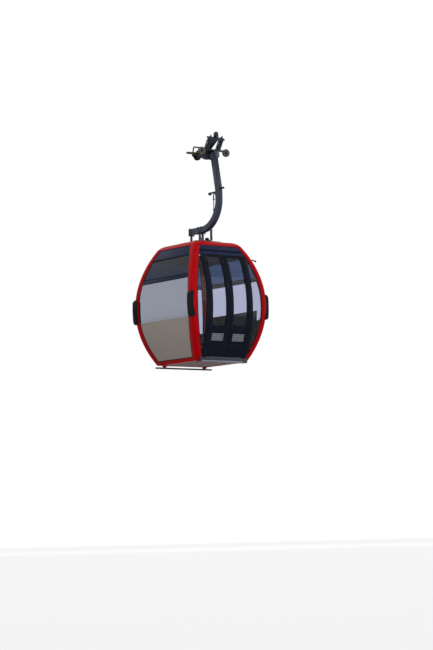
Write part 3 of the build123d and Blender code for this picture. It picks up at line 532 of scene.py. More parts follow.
def circle(radius: float, count: int, start: float = 0.0) -> Profile:
    """Gives evenly spaced points of a circle."""
    angles = [start + 2 * math.pi * n / count for n in range(count)]
    return [(radius * math.cos(angle), radius * math.sin(angle)) for angle in angles]


def rounded_outline(across: Span, levels: Span, corner: float, steps: int = 1) -> Profile:
    """Gives a rectangle with rounded corners, from its right side over the top and round.

    Args:
        across: Its left and right edge.
        levels: Its lowest and highest edge.
        corner: Radius of the corners.
        steps: Spans that its upright edges are divided into.

    Returns:
        The outline's points, seven to a corner.
    """
    (left, right), (low, high) = across, (levels[0] + corner, levels[1] - corner)
    outline = []
    for x, side, start, end, turn in (
        (right - corner, right, high, high, 0), (left + corner, left, high, low, 90),
        (left + corner, left, low, low, 180), (right - corner, right, low, high, 270),
    ):
        angles = [math.radians(turn + 15 * n) for n in range(7)]
        outline += [(x + corner * math.cos(angle), start + corner * math.sin(angle)) for angle in angles]
        if start != end:
            outline += [(side, z) for z in between(start, end, steps)[1:-1]]
    return outline


def disc(radius: float, low: float, shoulder: float, top: float) -> Profile:
    """Gives the profile of a disc with a chamfered rim."""
    return [(0.0, low), (radius, low), (radius, shoulder), (radius - 0.003, top), (0.0, top)]


def tube(inner: float, outer: float, low: float, high: float) -> Profile:
    """Gives the closed profile of a ring or sleeve."""
    return [(inner, low), (outer, low), (outer, high), (inner, high), (inner, low)]


def turned(origin: Iterable[float], along: Iterable[float]) -> Matrix:
    """Gives the place of a local frame whose Z axis points along a direction.

    Args:
        origin: Where the frame stands.
        along: Direction of its Z axis.

    Returns:
        The 4 by 4 matrix.
    """
    up = Vector(along).normalized()
    side = Vector((1.0, 0.0, 0.0)) - up * up.x
    if side.length < 1e-6:
        side = Vector((0.0, 1.0, 0.0)) - up * up.y
    side.normalize()
    return Matrix.Translation(origin) @ Matrix((side, up.cross(side), up)).transposed().to_4x4()


@dataclass(frozen=True)
class Ride:
    """What a piece moves with and is made of.

    Attributes:
        body: Name of the body.
        slot: The record's material slot.
        material: The material.
    """

    body: str
    slot: str
    material: bpy.types.Material


def settle(name: str, mesh: bpy.types.Mesh, ride: Ride, *replaced: str, sharp: float = 32.0) -> None:
    """Turns a finished mesh into a piece of the part.

    Args:
        name: Name of the piece.
        mesh: Its mesh, in place.
        ride: Body, slot and material.
        replaced: CAD nodes that the piece stands for.
        sharp: Edges that turn by more degrees than this stay sharp.
    """
    mesh.name = name
    mesh.shade_smooth()
    mesh.set_sharp_from_angle(angle=math.radians(sharp))
    if not mesh.materials:
        mesh.materials.append(ride.material)
    piece = bpy.data.objects.new(name, mesh)
    bpy.context.collection.objects.link(piece)
    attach(piece, ride.body)
    if replaced:
        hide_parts(*replaced)
    LOG.info("made %s: %d faces on %s", name, len(mesh.polygons), ride.body)


def soften(work: bmesh.types.BMesh, edges: list[bmesh.types.BMEdge], width: float, **more: bool) -> None:
    """Rounds some edges of a mesh."""
    bmesh.ops.bevel(work, geom=edges, offset=width, segments=2, profile=0.5, affect="EDGES", **more)


class Shape:
    """Collects the forms of one piece.

    Attributes:
        root: How deep a band stands in the surface that carries it.
        shoulder: Share of a band's rise where its shoulders begin.
        rounding: Greatest share of a band's width that its shoulders take.
        mitre: Least cosine that a band's corner is drawn out by.
    """

    root = 0.0015
    shoulder = 0.6
    rounding = 0.4
    mitre = 0.35

    def __init__(self) -> None:
        """Starts with nothing."""
        self.mesh = bmesh.new()

    def block(self, centre: Point, size: Point, bevel: float = 0.002, turn: Matrix | None = None) -> None:
        """Adds a block with rounded edges.

        Args:
            centre: Its middle.
            size: Its three sizes.
            bevel: Width of the rounding.
            turn: Matrix that turns it about its middle.
        """
        place = Matrix.Translation(centre) @ (turn or Matrix()) @ Matrix.Diagonal((*size, 1.0))
        made = set(bmesh.ops.create_cube(self.mesh, size=1.0, matrix=place)["verts"])
        soften(self.mesh, [edge for edge in self.mesh.edges if made.issuperset(edge.verts)], bevel)

    def lathe(self, profile: Profile, place: Matrix, sides: int = 32) -> None:
        """Adds a turned form.

        Args:
            profile: Pairs of radius and distance along the axis.
            place: Where the turned form's frame stands.
            sides: Number of sides.
        """
        rings = []
        for radius, along in profile:
            spots = circle(radius, sides)[: sides if radius > 0.0 else 1]
            rings.append([self.mesh.verts.new(place @ Vector((*spot, along))) for spot in spots])
        for first, second in zip(rings, rings[1:]):
            for n in range(sides):
                turns = ((first, n), (first, n + 1), (second, n + 1), (second, n))
                corners = dict.fromkeys(ring[m % len(ring)] for ring, m in turns)
                if len(corners) > 2:
                    self.mesh.faces.new(list(corners))

    def strip(self, path: Path, width: float, rise: float, closed: bool = True) -> None:
        """Adds a flat band along a path, with mitred corners.

        Args:
            path: Points on the surface that carries it, each with the direction square to that surface.
            width: Width of the band.
            rise: How far it stands up.
            closed: Whether the path returns to its start.
        """
        count, flat = len(path), 1 - min(self.rounding, rise / width)
        rings = []
        for n, (place, facing) in enumerate(path):
            before = place - path[n - 1][0] if n or closed else path[1][0] - place
            after = path[(n + 1) % count][0] - place if n < count - 1 or closed else before
            sides = [facing.cross(step).normalized() for step in (before, after)]
            middle = (sides[0] + sides[1]).normalized()
            half = middle * (width / 2 / max(self.mitre, middle.dot(sides[0])))
            base, flank, top = facing * -self.root, facing * rise * self.shoulder, facing * rise
            drawn_in = half * flat
            corners = (base - half, flank - half, top - drawn_in, top + drawn_in, flank + half, base + half)
            rings.append([self.mesh.verts.new(place + corner) for corner in corners])
        for first, second in zip(rings, rings[1:] + rings[:1] if closed else rings[1:]):
            for k in range(6):
                m = (k + 1) % 6
                self.mesh.faces.new((first[k], first[m], second[m], second[k]))
        for ring in () if closed else (rings[0], rings[-1]):
            self.mesh.faces.new(ring)

    def sheet(
        self, side: Side, rows: list[float], across: Callable[[float], list[float]], inset: float,
        thickness: float = 0.006, openings: Iterable[tuple[Span, Span]] = (), bevel: float = 0.0,
    ) -> None:
        """Adds a curved sheet, with or without openings through it.

        Args:
            side: The face that it lies in.
            rows: Heights of its rows' edges, from the lowest.
            across: Gives the places of its columns' edges at a height.
            inset: How far its outer surface lies inside the face.
            thickness: Its thickness.
            openings: Distances from the middle and heights of the edges of each pair of openings.
            bevel: Width of the rounding of its edges.
        """
        outer, inner = grids = [
            [[self.mesh.verts.new(side.point(x, z, depth)) for x in across(z)] for z in rows]
            for depth in (inset, inset + thickness)
        ]
        cells = set()
        for row, column in product(range(len(rows) - 1), range(len(outer[0]) - 1)):
            z, x = sum(rows[row:row + 2]) / 2, abs(sum(across(rows[row])[column:column + 2]) / 2)
            if not any(left < x < right and low < z < high for (left, right), (low, high) in openings):
                cells.add((row, column))
        made = []
        for r, c in sorted(cells):
            ring = [(r, c), (r, c + 1), (r + 1, c + 1), (r + 1, c)]
            made += [self.mesh.faces.new([grid[i][j] for i, j in ring]) for grid in grids]
            beside = ((r - 1, c), (r, c + 1), (r + 1, c), (r, c - 1))
            for (i, j), (k, m), other in zip(ring, ring[1:] + ring[:1], beside):
                if other not in cells:
                    made.append(self.mesh.faces.new((outer[i][j], outer[k][m], inner[k][m], inner[i][j])))
        if bevel:
            loose = [vert for vert in self.mesh.verts if not vert.link_faces]
            bmesh.ops.delete(self.mesh, geom=loose, context="VERTS")
            bmesh.ops.recalc_face_normals(self.mesh, faces=made)
            sharp = {edge for face in made for edge in face.edges if edge.calc_face_angle(0.0) > 1.0}
            soften(self.mesh, list(sharp), bevel)

    def settle(self, name: str, ride: Ride, *replaced: str) -> None:
        """Finishes the piece.

        Args:
            name: Name of the piece.
            ride: Body, slot and material.
            replaced: CAD nodes that it stands for.
        """
        bmesh.ops.recalc_face_normals(self.mesh, faces=self.mesh.faces)
        mesh = bpy.data.meshes.new(name)
        self.mesh.to_mesh(mesh)
        self.mesh.free()
        settle(name, mesh, ride, *replaced)


class Recipe(Graph):
    """A geometry node tree with named inputs that ends in realised instances and a material."""

    def __init__(self, name: str, **inputs: str) -> None:
        """Starts the tree.

        Args:
            name: Name of the tree.
            inputs: Kind of each named input.
        """
        super().__init__(bpy.data.node_groups.new(name, "GeometryNodeTree"))
        new_socket = self.tree.interface.new_socket
        for label, kind in {"Geometry": "Geometry", **inputs, "Material": "Material"}.items():
            new_socket(label, in_out="INPUT", socket_type="NodeSocket" + kind)
        new_socket("Geometry", in_out="OUTPUT", socket_type="NodeSocketGeometry")
        self.given = self.add("NodeGroupInput").outputs

    def bar(self, path: Socket, sides: Value, radius: Socket) -> Socket:
        """Sweeps a round bar along a curve."""
        ring = self.out("GeometryNodeCurvePrimitiveCircle", {"Resolution": sides, "Radius": radius})
        return self.out("GeometryNodeCurveToMesh", {"Curve": path, "Profile Curve": ring, "Fill Caps": True})

    def close(self, geometry: Socket) -> "Recipe":
        """Ends the tree.

        Args:
            geometry: Output socket of the last form.

        Returns:
            The recipe itself.
        """
        real = self.out("GeometryNodeRealizeInstances", {"Geometry": geometry})
        dressed = {"Geometry": real, "Material": self.given["Material"]}
        self.add("NodeGroupOutput", {0: self.out("GeometryNodeSetMaterial", dressed)})
        return self

    def cook(
        self, points: Sequence[Point] = (), edges: Sequence[tuple[int, int]] = (),
        facing: Sequence[Point] = (), **values: object,
    ) -> bpy.types.Mesh:
        """Runs the tree once on a mesh of points and edges, and gives its plain mesh.

        Args:
            points: Points of the mesh.
            edges: Edges of the mesh.
            facing: A direction for each point, where the tree asks for it.
            values: Values of the named inputs.

        Returns:
            The mesh.
        """
        source = bpy.data.meshes.new("source")
        source.from_pydata(points, edges, [])
        if facing:
            ways = source.attributes.new("facing", "FLOAT_VECTOR", "POINT").data
            for point, way in zip(ways, facing):
                point.vector = way
        bench = bpy.data.objects.new("bench", source)
        bpy.context.collection.objects.link(bench)
        modifier = bench.modifiers.new("recipe", "NODES")
        modifier.node_group = self.tree
        for item in self.tree.interface.items_tree:
            if item.in_out == "INPUT" and item.name in values:
                modifier[item.identifier] = values[item.name]
        mesh = bpy.data.meshes.new_from_object(bench.evaluated_get(bpy.context.evaluated_depsgraph_get()))
        bench.modifiers.clear()
        bpy.data.objects.remove(bench)
        return mesh


def spring_recipe() -> Recipe:
    """Builds the tree of a pair of coil springs.

    Returns:
        The recipe.
    """
    numbers = dict.fromkeys(("Turns", "Radius", "Wire", "Height", "Spread"), "Float")
    recipe = Recipe("Coil springs", **numbers, Place="Vector", Lean="Vector")
    given = recipe.given
    coil = recipe.out("GeometryNodeCurveSpiral", {
        "Resolution": 28,
        "Rotations": given["Turns"],
        "Start Radius": given["Radius"],
        "End Radius": given["Radius"],
        "Height": given["Height"],
    })
    start, step = (
        recipe.out("ShaderNodeCombineXYZ", {0: recipe.times(given["Spread"], share)}) for share in (-1.0, 2.0)
    )
    pair = recipe.out("GeometryNodeMeshLine", {"Count": 2, "Start Location": start, "Offset": step})
    spring = recipe.bar(coil, 12, given["Wire"])
    both = recipe.out("GeometryNodeInstanceOnPoints", {"Points": pair, "Instance": spring})
    place = {"Geometry": both, "Translation": given["Place"], "Rotation": given["Lean"]}
    return recipe.close(recipe.out("GeometryNodeTransform", place))


def bolt_recipe() -> Recipe:
    """Builds the tree of hexagon bolts with washers, one on each point of a mesh.

    Returns:
        The recipe. Its source mesh has a direction on each point, called facing.
    """
    recipe = Recipe("Hexagon bolts", Head="Float", Height="Float")
    head, height = recipe.given["Head"], recipe.given["Height"]
    parts = recipe.add("GeometryNodeJoinGeometry")
    # Washer, head and its chamfer: radii by the head's radius, depth and middle by the whole height
    for kind, sides, radii, depth, level in (
        ("Cylinder", 20, {"Radius": 1.35}, 0.22, 0.11),
        ("Cylinder", 6, {"Radius": 1.0}, 0.66, 0.55),
        ("Cone", 12, {"Radius Bottom": 0.95, "Radius Top": 0.78}, 0.12, 0.88),
    ):
        sizes = {label: recipe.times(head, share) for label, share in radii.items()}
        sizes |= {"Vertices": sides, "Depth": recipe.times(height, depth)}
        lift = recipe.out("ShaderNodeCombineXYZ", {2: recipe.times(height, level)})
        form = {"Geometry": recipe.out("GeometryNodeMesh" + kind, sizes), "Translation": lift}
        recipe.feed(parts, {0: recipe.out("GeometryNodeTransform", form)})
    facing = recipe.out("GeometryNodeInputNamedAttribute", {"Name": "facing"}, data_type="FLOAT_VECTOR")
    return recipe.close(recipe.out("GeometryNodeInstanceOnPoints", {
        "Points": recipe.out("GeometryNodeMeshToPoints", {"Mesh": recipe.given["Geometry"]}),
        "Instance": parts.outputs[0],
        "Rotation": recipe.out("FunctionNodeAlignRotationToVector", {"Vector": facing}, axis="Z"),
    }))


def bead_recipe() -> Recipe:
    """Builds the tree of a round bar or bead along the edges of a mesh.

    Returns:
        The recipe.
    """
    recipe = Recipe("Round bead", Radius="Float", Sides="Int")
    path = recipe.out("GeometryNodeMeshToCurve", {"Mesh": recipe.given["Geometry"]})
    return recipe.close(recipe.bar(path, recipe.given["Sides"], recipe.given["Radius"]))


def row_recipe() -> Recipe:
    """Builds the tree of a row of equal ribs.

    Returns:
        The recipe.
    """
    recipe = Recipe("Row of ribs", Count="Int", Start="Vector", Step="Vector", Size="Vector")
    given = recipe.given
    spacing = {"Count": given["Count"], "Start Location": given["Start"], "Offset": given["Step"]}
    return recipe.close(recipe.out("GeometryNodeInstanceOnPoints", {
        "Points": recipe.out("GeometryNodeMeshLine", spacing),
        "Instance": recipe.out("GeometryNodeMeshCube", {"Size": given["Size"]}),
    }))


class Kit:
    """The recipes and finishes that every sub-assembly draws on."""

    def __init__(self, frame: dict, workshop: Workshop) -> None:
        """Builds the recipes.

        Args:
            frame: The loaded frame.
            workshop: Maker of the materials.
        """
        self.nodes = frame["nodes"]
        self.bodies = frame["record"]["behaviour"]["bodies"]
        self.workshop = workshop
        self.spring, self.bolt = spring_recipe(), bolt_recipe()
        self.bead, self.row = bead_recipe(), row_recipe()

    def ride(self, slot: str, body: str = CABIN, finish: str = "") -> Ride:
        """Gives what a piece moves with, and its slot's material or another finish."""
        return Ride(body, slot, self.workshop.material(finish or slot))

    def bolts(self, name: str, head: float, height: float, spots: Spots | Path, body: str = CABIN) -> None:
        """Adds steel bolts.

        Args:
            name: Name of the piece.
            head: Radius of a head across its corners.
            height: Height with the washer.
            spots: Place and direction of each bolt.
            body: What they move with.
        """
        ride = self.ride("pin_steel", body)
        places, facing = zip(*spots)
        mesh = self.bolt.cook(places, (), facing, Head=head, Height=height, Material=ride.material)
        settle(name, mesh, ride)

    def beads(
        self, name: str, ride: Ride, radius: float, paths: list[list[Point | Vector]], closed: bool = False,
        sides: int = 10,
    ) -> None:
        """Adds round bars along paths.

        Args:
            name: Name of the piece.
            ride: Body, slot and material.
            radius: Radius of the bar.
            paths: Points of each path.
            closed: Whether the paths return to their start.
            sides: Number of sides of the bar.
        """
        points, edges = [], []
        for path in paths:
            order = list(range(len(points), len(points) + len(path)))
            edges += zip(order, order[1:] + order[:1] if closed else order[1:])
            points += path
        mesh = self.bead.cook(points, edges, Radius=radius, Sides=sides, Material=ride.material)
        settle(name, mesh, ride, sharp=50.0)

    def ribs(self, name: str, slot: str, count: int, start: Point, step: Point, size: Point) -> None:
        """Adds a row of equal ribs.

        Args:
            name: Name of the piece.
            slot: The record's material slot.
            count: Number of ribs.
            start: Middle of the first.
            step: From one to the next.
            size: Sizes of one rib.
        """
        ride = self.ride(slot)
        mesh = self.row.cook(Count=count, Start=start, Step=step, Size=size, Material=ride.material)
        settle(name, mesh, ride)

    def refine(self, slot: str, **bevels: float) -> None:
        """Stands smooth copies with rounded edges in the places of CAD nodes.

        Args:
            slot: Their material slot.
            bevels: Width of the rounding of each node; 0 leaves its edges.
        """
        for node, bevel in bevels.items():
            work = bmesh.new()
            work.from_mesh(self.nodes[node].data)
            bmesh.ops.remove_doubles(work, verts=work.verts, dist=2e-5)
            bmesh.ops.dissolve_limit(work, angle_limit=math.radians(0.4), verts=work.verts, edges=work.edges)
            if bevel:
                inner = [edge for edge in work.edges if len(edge.link_faces) == 2]
                edges = [edge for edge in inner if edge.calc_face_angle(0.0) > math.radians(30)]
                soften(work, edges, bevel, clamp_overlap=True)
            bmesh.ops.triangulate(work, faces=[f for f in work.faces if len(f.verts) > 4])
            mesh = bpy.data.meshes.new(node)
            work.to_mesh(mesh)
            work.free()
            body = next(name for name, members in self.bodies.items() if node in members)
            settle(node + "_finished", mesh, self.ride(slot, body), node)


@dataclass
class Assembly:
    """A sub-assembly.

    Attributes:
        kit: The recipes and finishes that it draws on.
    """

    kit: Kit


@dataclass
class Grip(Assembly):
    """Rope grip: castings, springs, pins, wheels and their fastenings.

    Attributes:
        lean: Lean of the spring axis, in radians.
        foot: Y and Z of the spring axis at the shelf.
        spread: Distance of a spring from the middle.
        coil: Radius of a coil's centre line.
        wire: Radius of the wire.
        turns: Turns of a spring.
        seat: Distance along the axis where the spring begins.
        crown: Distance along the axis where it ends.
        cup: Thickness of the cups at both ends.
        bar: Thickness of the cross bar beyond them.
        cheek: Distance of the cheeks' faces from the middle.
        boss: Y and Z of the cheeks' bosses.
        roller: Y and Z of the lever roller.
        wheel: Distance of a running wheel from the middle, its Y and its Z.
        pivot_z: Height of the pivot pin.
    """

    lean: float = math.radians(32.0)
    foot: Span = (-0.306, 0.0655)
    spread: float = 0.134
    coil: float = 0.0475
    wire: float = 0.0085
    turns: float = 6.5
    seat: float = 0.012
    crown: float = 0.208
    cup: float = 0.004
    bar: float = 0.032
    cheek: float = 0.120
    boss: Span = (-0.118, 0.008)
    roller: Span = (-0.4332, 0.3370)
    wheel: Point = (0.292, -0.352, 0.004)
    pivot_z: float = -0.060

    def build(self) -> None:
        """Builds the grip's pieces."""
        self.kit.refine("grip_casting", grip_housing=0.003, movable_jaw=0.003, cross_bar=0.0015)
        self.kit.refine("black_trim", wheel_guard=0.002)
        self.guard()
        self.springs()
        self.cheeks()
        self.fastenings()
        self.wheels()

    def on_axis(self, distance: float, x: float = 0.0) -> Point:
        """Gives a point on the spring axis at a distance from the shelf."""
        y, z = self.foot
        return (x, y - math.sin(self.lean) * distance, z + math.cos(self.lean) * distance)

    def guard(self) -> None:
        """Draws a round sleeve over the guard hoop."""
        bend, bar = 0.028, 0.0135
        corners = [Vector(corner) for corner in ((-0.140, 0.156, -0.020), (-0.104, 0.156, 0.170))]
        corners += [Vector((-corner.x, corner.y, corner.z)) for corner in reversed(corners)]
        path = [corners[0]]
        for before, corner, after in zip(corners, corners[1:], corners[2:]):
            start, end = (corner + (other - corner).normalized() * bend for other in (before, after))
            path += [start.lerp(corner, t).lerp(corner.lerp(end, t), t) for t in between(0.0, 1.0, 4)]
        self.kit.beads("guard_sleeve", self.kit.ride("dark_rubber", GRIP), bar, [[*path, corners[-1]]])

    def springs(self) -> None:
        """Winds the springs and turns their cups and rods."""
        ride = self.kit.ride("spring_steel", GRIP)
        end = self.cup + self.wire
        coils = self.kit.spring.cook(
            Turns=self.turns, Radius=self.coil, Wire=self.wire, Height=self.crown - self.seat - 2 * end,
            Spread=self.spread, Place=self.on_axis(self.seat + end), Lean=(self.lean, 0.0, 0.0),
            Material=ride.material,
        )
        settle("coil_springs", coils, ride, "grip_springs", sharp=60.0)
        low, high, cup, top = self.seat, self.crown, self.cup, self.crown + self.bar
        core = [
            (0.0, low), (0.054, low), (0.054, low + cup), (0.035, low + cup), (0.033, low + 0.008),
            (0.033, 0.086), (0.030, 0.090), (0.014, 0.090), (0.014, 0.132), (0.030, 0.132), (0.033, 0.136),
            (0.033, high - 0.008), (0.035, high - cup), (0.054, high - cup), (0.054, high), (0.0, high),
        ]
        thread = [(0.0, top - 0.004), (0.0115, top - 0.004)]
        for level in between(top + 0.022, top + 0.046, 8):
            thread += [(0.0115, level), (0.0105, level + 0.0015)]
        thread += [(0.009, top + 0.051), (0.0, top + 0.052)]
        rods, nuts = Shape(), []
        along = (0.0, -math.sin(self.lean), math.cos(self.lean))
        for x in (-self.spread, self.spread):
            rods.lathe(core, turned(self.on_axis(0.0, x), along))
            rods.lathe(thread, turned(self.on_axis(0.0, x), along), 20)
            nuts.append((self.on_axis(top, x), along))
        rods.settle("spring_rods", self.kit.ride("pin_steel", GRIP))
        self.kit.bolts("spring_nuts", 0.021, 0.024, nuts, GRIP)

    def cheeks(self) -> None:
        """Adds ribs and bosses with pin caps to both cheeks."""
        ribs, caps = Shape(), Shape()
        rib, round_off = 0.013, 0.003
        boss_y, boss_z = self.boss
        for side in (-1, 1):
            x = side * (self.cheek + 0.003)
            for y, z in ((-0.248, -0.118), (-0.248, 0.060), (-0.092, -0.066)):
                run = Vector((0.0, y - boss_y, z - boss_z))
                turn = Matrix.Rotation(math.atan2(run.z, run.y), 4, "X")
                ribs.block((x, (y + boss_y) / 2, (z + boss_z) / 2), (0.010, run.length, rib), round_off, turn)
            ribs.block((x, -0.252, -0.030), (0.010, 0.016, 0.196), round_off)
            ribs.block((x, -0.131, 0.067), (0.010, 0.256, rib), round_off)
            for shape, out, profile, sides in (
                (ribs, -0.002, disc(0.041, 0.0, 0.009, 0.012), 36),
                (caps, 0.009, disc(0.027, 0.0, 0.005, 0.008), 32),
            ):
                shape.lathe(profile, turned((side * (self.cheek + out), *self.boss), (side, 0.0, 0.0)), sides)
        dome = [(0.0, 0.0), (0.046, 0.0), (0.044, 0.004), (0.016, 0.004), (0.014, 0.010), (0.0, 0.012)]
        caps.lathe(dome, turned((0.0, -0.457, self.pivot_z), OUT), 40)
        ribs.settle("cheek_ribs", self.kit.ride("grip_casting", GRIP))
        caps.settle("pin_caps", self.kit.ride("pin_steel", GRIP))

    def fastenings(self) -> None:
        """Bolts the castings together."""
        large = [((0.0, 0.234, 0.0), BACK)]
        small = [((x, y, 0.100), UP) for x in (-0.028, 0.028) for y in (0.024, 0.112)]
        small += [((x, 0.128, z), OUT) for x in (-0.030, 0.030) for z in (-0.030, 0.030)]
        small += [((x, -0.4605, self.pivot_z + z), OUT) for x, z in circle(0.034, 3, math.pi / 2)]
        for side in (-1, 1):
            x = side * 0.090
            large += [((x, 0.018, 0.075), UP), ((x, 0.062, 0.050), BACK)]
            large += [((x, -0.262, 0.052), OUT), ((x, -0.262, -0.110), OUT)]
            large += [((side * self.wheel[0], -0.398, self.wheel[2]), OUT)]
            large += [((side * (self.cheek + 0.017), *self.boss), (side, 0.0, 0.0))]
            large += [((0.0, self.roller[0] + side * 0.040, self.roller[1]), (0.0, side, 0.0))]
            small += [((side * x, -0.298, 0.036), BACK) for x in (0.268, 0.312)]
        self.kit.bolts("grip_bolts", 0.0135, 0.013, large, GRIP)
        self.kit.bolts("grip_small_bolts", 0.0075, 0.008, small, GRIP)

    def wheels(self) -> None:
        """Adds hub bolts and lock rings, which turn with the wheels and the roller."""
        x, y, z = self.wheel
        for body, centre, half, ring, dish, sides in (
            ("rear wheel", (-x, y, z), 0.026, (0.043, 0.052), 0.013, 40),
            ("front wheel", (x, y, z), 0.026, (0.043, 0.052), 0.013, 40),
            ("guide wheel", (0.0, 0.192, 0.0), 0.022, (0.045, 0.054), 0.011, 40),
            ("lever roller", (0.0, *self.roller), 0.022, (0.022, 0.032), None, 36),
        ):
            name = body.replace(" ", "_")
            rings, spots = Shape(), []
            for way in (-1, 1):
                facing, face = (0.0, way, 0.0), centre[1] + way * half
                rings.lathe(tube(*ring, -0.002, 0.0015), turned((centre[0], face, centre[2]), facing), sides)
                if dish is not None:
                    level = face - way * dish
                    spots += [((centre[0] + u, level, centre[2] + v), facing) for u, v in circle(0.033, 6)]
            if spots:
                self.kit.bolts(name + "_bolts", 0.0052, 0.006, spots, body)
            rings.settle(name + "_rings", self.kit.ride("pin_steel", body))


@dataclass
class Hanger(Assembly):
    """Hanger arm, its fittings and the suspension on the roof.

    Attributes:
        run: Height of the level run's centre line.
        depth: Half the arm's depth.
        width: Half the arm's width.
        eye_z: Height of the eye on the pivot pin.
        peg_z: Height of the peg behind the arm.
        legs: Y of the stirrups' legs under the level run.
        slanted_leg: Y of the leg under the bend.
        leg_half: Half a leg's width.
        leg_foot: Height of the bolts at the legs' feet.
        rod_y: Y of the door rod.
        buffers: Y of the rubber buffers.
        buffer_top: Height of their top.
        damper: Middle of the sway damper's upper and lower joint.
    """

    run: float = -1.465
    depth: float = 0.061
    width: float = 0.050
    eye_z: float = -0.060
    peg_z: float = -0.735
    legs: Point = (0.073, 0.167, 0.443)
    slanted_leg: float = -0.203
    leg_half: float = 0.022
    leg_foot: float = -1.660
    rod_y: float = -0.307
    buffers: Span = (-0.065, 0.305)
    buffer_top: float = -1.647
    damper: tuple[Point, Point] = ((-0.066, 0.110, -1.506), (-0.066, 0.030, -1.685))

    def build(self) -> None:
        """Builds the hanger's pieces."""
        self.kit.refine("hanger_paint", hanger_arm=0.0, suspension_stirrups=0.003, door_lever=0.002)
        self.clamps()
        self.plates()
        self.rod_fittings()
        self.rubbers()
        self.mounts()

    def clamps(self) -> None:
        """Bends the U bolts round the arm and adds their flanges."""
        bar, low = 0.005, self.run - self.depth
        foot = low - 0.030
        outer = self.width + bar + 0.0005
        levels = (low, self.run + self.depth + bar + 0.0005)
        top = rounded_outline((-outer, outer), levels, 0.018)[13::-1]
        bend = [(-outer, foot), (-outer, low), *top, (outer, low), (outer, foot)]
        paths = [[(x, y, z) for x, z in bend] for y in self.legs]
        self.kit.beads("arm_clamps", self.kit.ride("pin_steel"), bar, paths)
        flanges = Shape()
        for y in self.legs:
            flanges.block((0.0, y, low - 0.005), (2 * outer + 0.026, 0.034, 0.008))
        flanges.settle("clamp_flanges", self.kit.ride("hanger_paint"))
        nuts = [((x, y, low - 0.009), DOWN) for x in (-outer, outer) for y in self.legs]
        self.kit.bolts("clamp_nuts", 0.0115, 0.012, nuts)

    def plates(self) -> None:
        """Adds the plates, rod guides and collars on the arm, and the plates' bolts."""
        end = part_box("hanger_arm")[1][1]
        plates = Shape()
        plates.block((0.0, end - 0.001, self.run), (0.088, 0.010, 0.110), 0.003)
        plates.block((0.0, -0.4165, -0.800), (0.076, 0.009, 0.150), 0.003)
        for z, arm_face in ((-0.920, -0.419), (-1.120, -0.376)):
            length = self.rod_y - arm_face
            plates.block((0.0, arm_face + length / 2, z), (0.024, length + 0.012, 0.007))
            plates.lathe(tube(0.0092, 0.019, -0.010, 0.010), turned((0.0, self.rod_y, z), UP), 24)
        washer = [(0.016, -0.006), (0.036, -0.006), (0.036, 0.004), (0.030, 0.007), (0.016, 0.007)]
        plates.lathe(washer, turned((0.0, -0.534, self.peg_z), OUT))
        for y in (-0.430, -0.280):
            collar = [(0.070, 0.0), (0.0765, 0.001), (0.0765, 0.007), (0.070, 0.008)]
            plates.lathe(collar, turned((0.0, y, self.eye_z), BACK), 48)
        plates.settle("arm_plates", self.kit.ride("hanger_paint"))
        places = [(end + 0.004, self.run - 0.040), (end + 0.004, self.run + 0.040)]
        places += [(-0.412, -0.742), (-0.412, -0.862)]
        bolts = [((x, *place), BACK) for x in (-0.030, 0.030) for place in places]
        self.kit.bolts("arm_bolts", 0.0075, 0.008, bolts)

    def rod_fittings(self) -> None:
        """Adds the nuts and stops on the door rod and the pins of its hook."""
        steel = Shape()
        for low, high, radius in (
            (-0.900, -0.850, 0.0145), (-0.842, -0.834, 0.0165), (-1.160, -1.150, 0.0165)
        ):
            nut = tube(0.0085, radius, low, high)[:4]
            steel.lathe(nut, turned((0.0, self.rod_y, 0.0), UP), 6)
        for side in (-1, 1):
            pin = turned((side * 0.024, -0.194, -0.797), (side, 0.0, 0.0))
            steel.lathe(disc(0.012, -0.002, 0.006, 0.009), pin, 24)
        steel.settle("rod_fittings", self.kit.ride("pin_steel"))

    def rubbers(self) -> None:
        """Adds the peg's rubber tip and the seals of the eye."""
        rubber = Shape()
        tip = [(0.0, 0.0), (0.015, 0.0), (0.019, 0.004), (0.019, 0.040), (0.016, 0.044), (0.0155, 0.044)]
        rubber.lathe(tip, turned((0.0, -0.641, self.peg_z), BACK), 28)
        for y in (-0.4405, -0.2705):
            rubber.lathe(tube(0.037, 0.048, 0.0, 0.0065), turned((0.0, y, self.eye_z), BACK), 40)
        rubber.settle("arm_rubbers", self.kit.ride("dark_rubber"))

    def mounts(self) -> None:
        """Adds the buffers' discs, the stirrups' bolts and the damper's boot."""
        discs = Shape()
        nuts = []
        for y in self.buffers:
            discs.lathe(disc(0.034, -0.001, 0.004, 0.006), turned((0.0, y, self.buffer_top), UP), 36)
            nuts.append(((0.0, y, self.buffer_top + 0.006), UP))
        discs.settle("buffer_discs", self.kit.ride("pin_steel"))
        feet = [(y, self.leg_foot) for y in (*self.legs, self.slanted_leg)]
        for side, (y, z) in product((-1, 1), [*feet, (self.slanted_leg, -1.510)]):
            nuts.append(((side * self.leg_half, y, z), (side, 0.0, 0.0)))
        self.kit.bolts("stirrup_bolts", 0.0085, 0.009, nuts)
        top, foot = (Vector(joint) for joint in self.damper)
        folds = [(0.0, 0.16), (0.017, 0.16)]
        for level in between(0.17, 0.266, 6):
            folds += [(0.0205, level), (0.0175, level + 0.008)]
        folds += [(0.017, 0.285), (0.0, 0.285)]
        length = (foot - top).length
        boot = Shape()
        boot.lathe([(radius, share * length) for radius, share in folds], turned(top, foot - top), 24)
        boot.settle("damper_boot", self.kit.ride("dark_rubber"))


